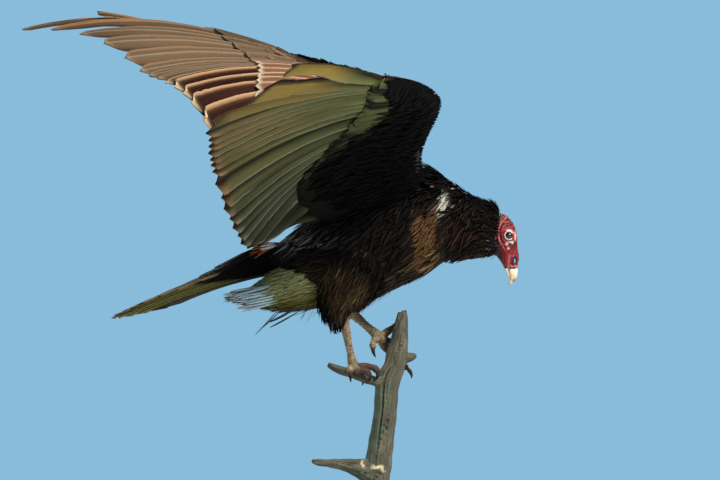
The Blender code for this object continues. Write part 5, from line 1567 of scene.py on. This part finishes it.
    nostril = np.hypot((x - NOSTRIL_POINT[0]) / NOSTRIL_HALF[0], (z - NOSTRIL_POINT[1]) / NOSTRIL_HALF[1])
    red = layered(red, (
        (pale, blot((0.0145, -0.0292), (0.0030, 0.0011)) * 0.8),
        (dark, bump_at(nostril, 1.1, 0.7)),
        ((0.20, 0.012, 0.020), bump_at(nostril, 2.6, 0.5) * soft_step(-0.045, -0.040, z) * 0.8),
        ((0.62, 0.20, 0.22), bump_at(z, -0.0438, 0.0011) * soft_step(0.008, 0.012, x) * 0.9),
        (BLACK, soft_step(0.0032, 0.0008, ahead_of(h, HOOD_EDGE)))), c1)
    is_head = soft_step(-0.020, -0.014, x) * (points[:, 2] > 0.44)
    colour = mix(colour, red, c1(is_head * (points[:, 0] > 0.17)))
    return in_range(colour)


# ---------------------------------------------------------------- eyes, bill, claws
def make_eyes(finish):
    for side, sign in SIDES:
        centre = head_place(EYE_POINT[0], sign * EYE_ASIDE, EYE_POINT[1])
        out = (head_turn() @ Vector((0.18, sign, 0.0))).normalized()
        bm = bmesh.new()
        turn = Vector((0, 0, 1)).rotation_difference(out).to_matrix().to_4x4()
        bmesh.ops.create_uvsphere(bm, u_segments=48, v_segments=36, radius=EYE_RADIUS)
        for vert in bm.verts:  # the cornea stands a little proud of the ball
            rise = max(0.0, vert.co.z / EYE_RADIUS - 0.80) / 0.20
            vert.co *= 1 + 0.06 * rise
        bmesh.ops.transform(bm, matrix=Matrix.Translation(centre) @ turn, verts=bm.verts)
        mesh = mesh_of(f"eyeball_{side}", bm)
        gaze = unit(coordinates(mesh) - np.array(centre)) @ np.array(out)
        angle = np.degrees(np.arccos(np.clip(gaze, -1, 1)))[:, None]
        colour = mix((0.003, 0.003, 0.003), (0.030, 0.017, 0.010), soft_step(*PUPIL_EDGE, angle))
        colour = mix(colour, (0.008, 0.005, 0.004), soft_step(*IRIS_EDGE, angle))
        paint(mesh, colour)
        add_piece(f"eyeball_{side}", mesh, finish, (f"eye_{side}",))


def make_bill(finish):
    for name, node, sections, square in (("bill_tip_upper", "bill_upper", BILL, 2.4),
                                         ("bill_tip_lower", "bill_lower", MANDIBLE, 2.2)):
        if node == "bill_lower":  # it closes against the upper bill, and reaches up into the mouth
            sections = tuple((fx + 0.0022, fz, bx, bz, w) for fx, fz, bx, bz, w in sections)
            sections = ((0.0064, -0.0440, 0.0008, -0.0432, 0.0052),) + sections
        tube = head_tube(sections, 10, square)
        tip = lambda t: np.sqrt(np.clip(1 - np.clip((t - 0.93) / 0.07, 0, 1) ** 2, 0, 1))
        mesh = bent_grid(name, 56, 64, lambda t, a: tube.girt(t, a, tip(t)))
        points, out = coordinates(mesh), normals(mesh)
        h = in_head(points)
        edge = bump_at(h[:, 0] - (0.0090 if node == "bill_upper" else 0.0055), 0, 0.0008) * (h[:, 2] < -0.047)
        lines = 0.00012 * smooth_noise(h * np.array((1, 1, 3)), 0.003, 2)
        lift = 0.0004 * edge * (node == "bill_upper") + lines
        put_coordinates(mesh, points + out * lift[:, None])
        dark = stain(h * np.array((1, 0, 1)), (0.0152, 0, -0.0635), (0.0030, 1, 0.0034))
        colour = mix((0.78, 0.62, 0.38), (0.86, 0.78, 0.60), soft_step(-0.058, -0.050, h[:, 2])[:, None])
        colour = layered(colour, (
            ((0.06, 0.035, 0.02), dark * 0.9),
            ((0.35, 0.16, 0.07), soft_step(0.0098, 0.0085, h[:, 0])[:, None] * 0.5 * (node == "bill_upper"))))
        paint(mesh, in_range(colour))
        add_piece(name, mesh, finish, (node,))


def make_claws(finish):
    for side, _ in SIDES:
        for toe, path in TOES[side].items():
            start, way = Vector(path[-1]), Vector(CLAW_WAYS[side][toe]).normalized()
            along = (start - Vector(path[-2])).normalized()
            points = []
            for k in range(7):
                share = k / 6
                bend = (along * (1 - share) + way * share).normalized()
                radius = TOE_END_RADIUS * 0.72 * (1 - share) ** 0.8 + 0.0004
                points.append((*(start - along * 0.0015 + bend * CLAW_LENGTH * share), radius))
            claw = limb_tube(points, 4)
            girth = lambda t: rounded_ends(t, 0.06)
            mesh = bent_grid(f"talon_{side}_{toe}", 20, 26, lambda t, a: claw.girt(t, a, girth(t)))
            points = coordinates(mesh)
            near = np.linalg.norm(points - np.array(start), axis=1)[:, None]
            paint(mesh, mix((0.06, 0.045, 0.035), (0.012, 0.011, 0.012), soft_step(0.001, 0.006, near)))
            add_piece(f"talon_{side}_{toe}", mesh, finish, (f"claw_{side}_{toe}",))


# ---------------------------------------------------------------- perch and stand
def make_perch(finish):
    woods = [(TRUNK_WOOD, 0.020), (TWIG_WOOD, 0.05), (KNOB_WOOD, 0.10), (SIDE_WOOD, 0.05)]
    tubes = [limb_tube(points) for points, _ in woods]
    meshes = []
    for (points, blunt), tube in zip(woods, tubes):
        girth = lambda t: np.where(t > 0.5, rounded_ends(t, blunt), 1.0)
        meshes.append(bent_grid("wood", 28, 60, lambda t, a: tube.girt(t, a, girth(t))))
    mesh = fused("snag", meshes, WOOD_VOXEL)
    points, out = coordinates(mesh), normals(mesh)
    # the grain runs along the nearest length of wood
    nearest, grain = np.full(len(points), 9.0), np.zeros((len(points), 3))
    run = 0.0
    for tube in tubes:
        for row in tube.rows:
            gap = np.linalg.norm(points - row[:3], axis=1) - row[9]
            pick = gap < nearest
            nearest = np.where(pick, gap, nearest)
            d = points - row[:3]
            turn = np.arctan2(d @ row[3:6], d @ row[6:9])
            radius = row[9]
            way = np.cross(row[3:6], row[6:9])
            here = np.stack((np.cos(turn) * radius, np.sin(turn) * radius, run + d @ way), axis=1)
            grain = np.where(pick[:, None], here, grain)
            run += 0.004
        run += 0.5
    stretched = grain * np.array((1, 1, 0.08))
    cracks = np.abs(smooth_noise(stretched, 0.0062, 1)) + 0.35 * np.abs(smooth_noise(stretched, 0.0024, 2))
    crack = soft_step(0.19, 0.02, cracks)
    ribs = smooth_noise(stretched, 0.0030, 3)
    splinter = soft_step(0.385, 0.402, points[:, 2])
    lift = -0.0024 * crack + 0.0010 * ribs + 0.0012 * smooth_noise(points, 0.013, 4) - 0.0004
    lift = np.where(points[:, 2] < WOOD_CUT + 0.004, np.minimum(lift, 0), lift)
    points = points + out * lift[:, None]
    points[:, 2] += splinter * 0.0045 * smooth_noise(points * np.array((1, 1, 0)), 0.0045, 12)
    points[:, 2] = np.maximum(points[:, 2], WOOD_CUT)
    put_coordinates(mesh, points)
    n1, n2 = smooth_noise(points, 0.018, 6)[:, None], smooth_noise(points, 0.006, 7)[:, None]
    streak = smooth_noise(grain * np.array((1, 1, 0.05)), 0.0022, 8)[:, None]
    colour = mix((0.062, 0.060, 0.038), (0.138, 0.128, 0.086), soft_step(-0.7, 0.8, n1 + 0.8 * streak))
    lichen = soft_step(0.1, -0.8, out[:, :1] - 0.4 * n2) * soft_step(-0.5, 0.3, n2 + n1) \
        * soft_step(0.330, 0.300, points[:, 2:3])
    colour = layered(colour, (
        (np.array((0.060, 0.095, 0.058)) * (1 + 0.5 * streak), lichen * 0.85),
        ((0.017, 0.014, 0.010), crack[:, None] * 0.95),
        ((0.022, 0.018, 0.012), soft_step(0.30, 0.75, streak) * 0.6)))
    twig = soft_step(0.022, 0.008, points[:, :1]) * (points[:, 2:3] > 0.29)
    colour = mix(colour, np.array((0.050, 0.045, 0.034)) * (1 + 0.6 * streak), twig * 0.85)
    for place, size in (((0.020, -0.020, 0.183), (0.009, 0.008, 0.003)),
                        ((0.028, -0.020, 0.180), (0.005, 0.008, 0.005)),
                        ((0.012, -0.018, 0.150), (0.005, 0.008, 0.008)),
                        ((0.000, -0.010, 0.186), (0.004, 0.008, 0.004))):
        colour = mix(colour, (0.72, 0.60, 0.38),
                     np.clip(1.8 * stain(points + 0.004 * n2, place, size) - 0.3, 0, 1))
    paint(mesh, in_range(colour, 0.01))
    layer = mesh.attributes.new("grain", "FLOAT_VECTOR", "POINT")
    layer.data.foreach_set("vector", grain.astype(np.float32).ravel())
    add_piece("snag", mesh, finish, ("perch",))


def dress_node(name, finish):
    for obj in [NODES[name]] + list(NODES[name].children_recursive):
        if obj.type == "MESH":
            for slot in obj.material_slots:
                slot.material = finish


# ---------------------------------------------------------------- room, lights, camera
def looking(place, aim):
    """The matrix of a light or camera at a place, turned to its aim."""
    way = Vector(aim) - Vector(place)
    return Matrix.Translation(place) @ way.to_track_quat("-Z", "Y").to_matrix().to_4x4()


def area_light(name, place, aim, size, power, colour):
    light = bpy.data.lights.new(name, "AREA")
    light.size, light.energy, light.color = size, power, colour
    new_object(name, light).matrix_world = looking(place, aim)


def make_room():
    bm = bmesh.new()
    bmesh.ops.create_grid(bm, x_segments=1, y_segments=1, size=4.0)
    mesh = mesh_of("floor", bm)
    floor = new_object("floor", mesh)
    paper = Finish("pale_floor", Roughness=0.9)
    paper.feed("Base Color", paper.blended(paper.noise(3.0, 2.0), (0.62, 0.64, 0.66), (0.68, 0.70, 0.72)))
    mesh.materials.append(paper.material)
    world = bpy.data.worlds.new("pale_sky")
    world.use_nodes = True
    tree = world.node_tree
    sky = tree.nodes["Background"]
    sky.inputs[0].default_value = (0.265, 0.53, 0.74, 1)
    path = tree.nodes.new("ShaderNodeLightPath")
    level = tree.nodes.new("ShaderNodeMapRange")
    level.inputs["To Min"].default_value, level.inputs["To Max"].default_value = 0.42, 0.95
    tree.links.new(path.outputs["Is Camera Ray"], level.inputs["Value"])
    tree.links.new(level.outputs[0], sky.inputs[1])
    bpy.context.scene.world = world
    for name, place, size, power, colour in LIGHTS:
        area_light(name, place, LIGHTS_AIM, size, power, colour)


def make_camera():
    data = bpy.data.cameras.new("camera")
    data.lens, data.sensor_width = CAMERA_LENS, CAMERA_SENSOR
    camera = new_object("camera", data)
    camera.matrix_world = looking(CAMERA_PLACE, CAMERA_AIM)
    bpy.context.scene.camera = camera
    bpy.context.scene.view_settings.view_transform = "Standard"


def main():
    small = feather_finish("contour_feathers", 0.6)
    flight = feather_finish("flight_vanes", 0.5, barbs=True)
    make_room()
    make_camera()
    for side, _ in SIDES:
        make_flight(side, flight)
        make_coverts(side, small).make()
        make_thigh_coat(side, small).make()
    make_tail(flight)
    make_body_coat(small).make()
    make_vent_coat(small).make()
    make_skin(skin_finish())
    make_eyes(eye_finish())
    make_bill(horn_finish("bill_horn", 0.35))
    make_claws(horn_finish("claw_keratin", 0.5, 0.0, 0.12))
    make_perch(wood_finish())
    dress_node("stand_base", stand_wood_finish())
    steel = steel_finish()
    dress_node("stand_rod", steel)
    dress_node("stand_collar", steel)


main()
bpy.context.view_layer.update()
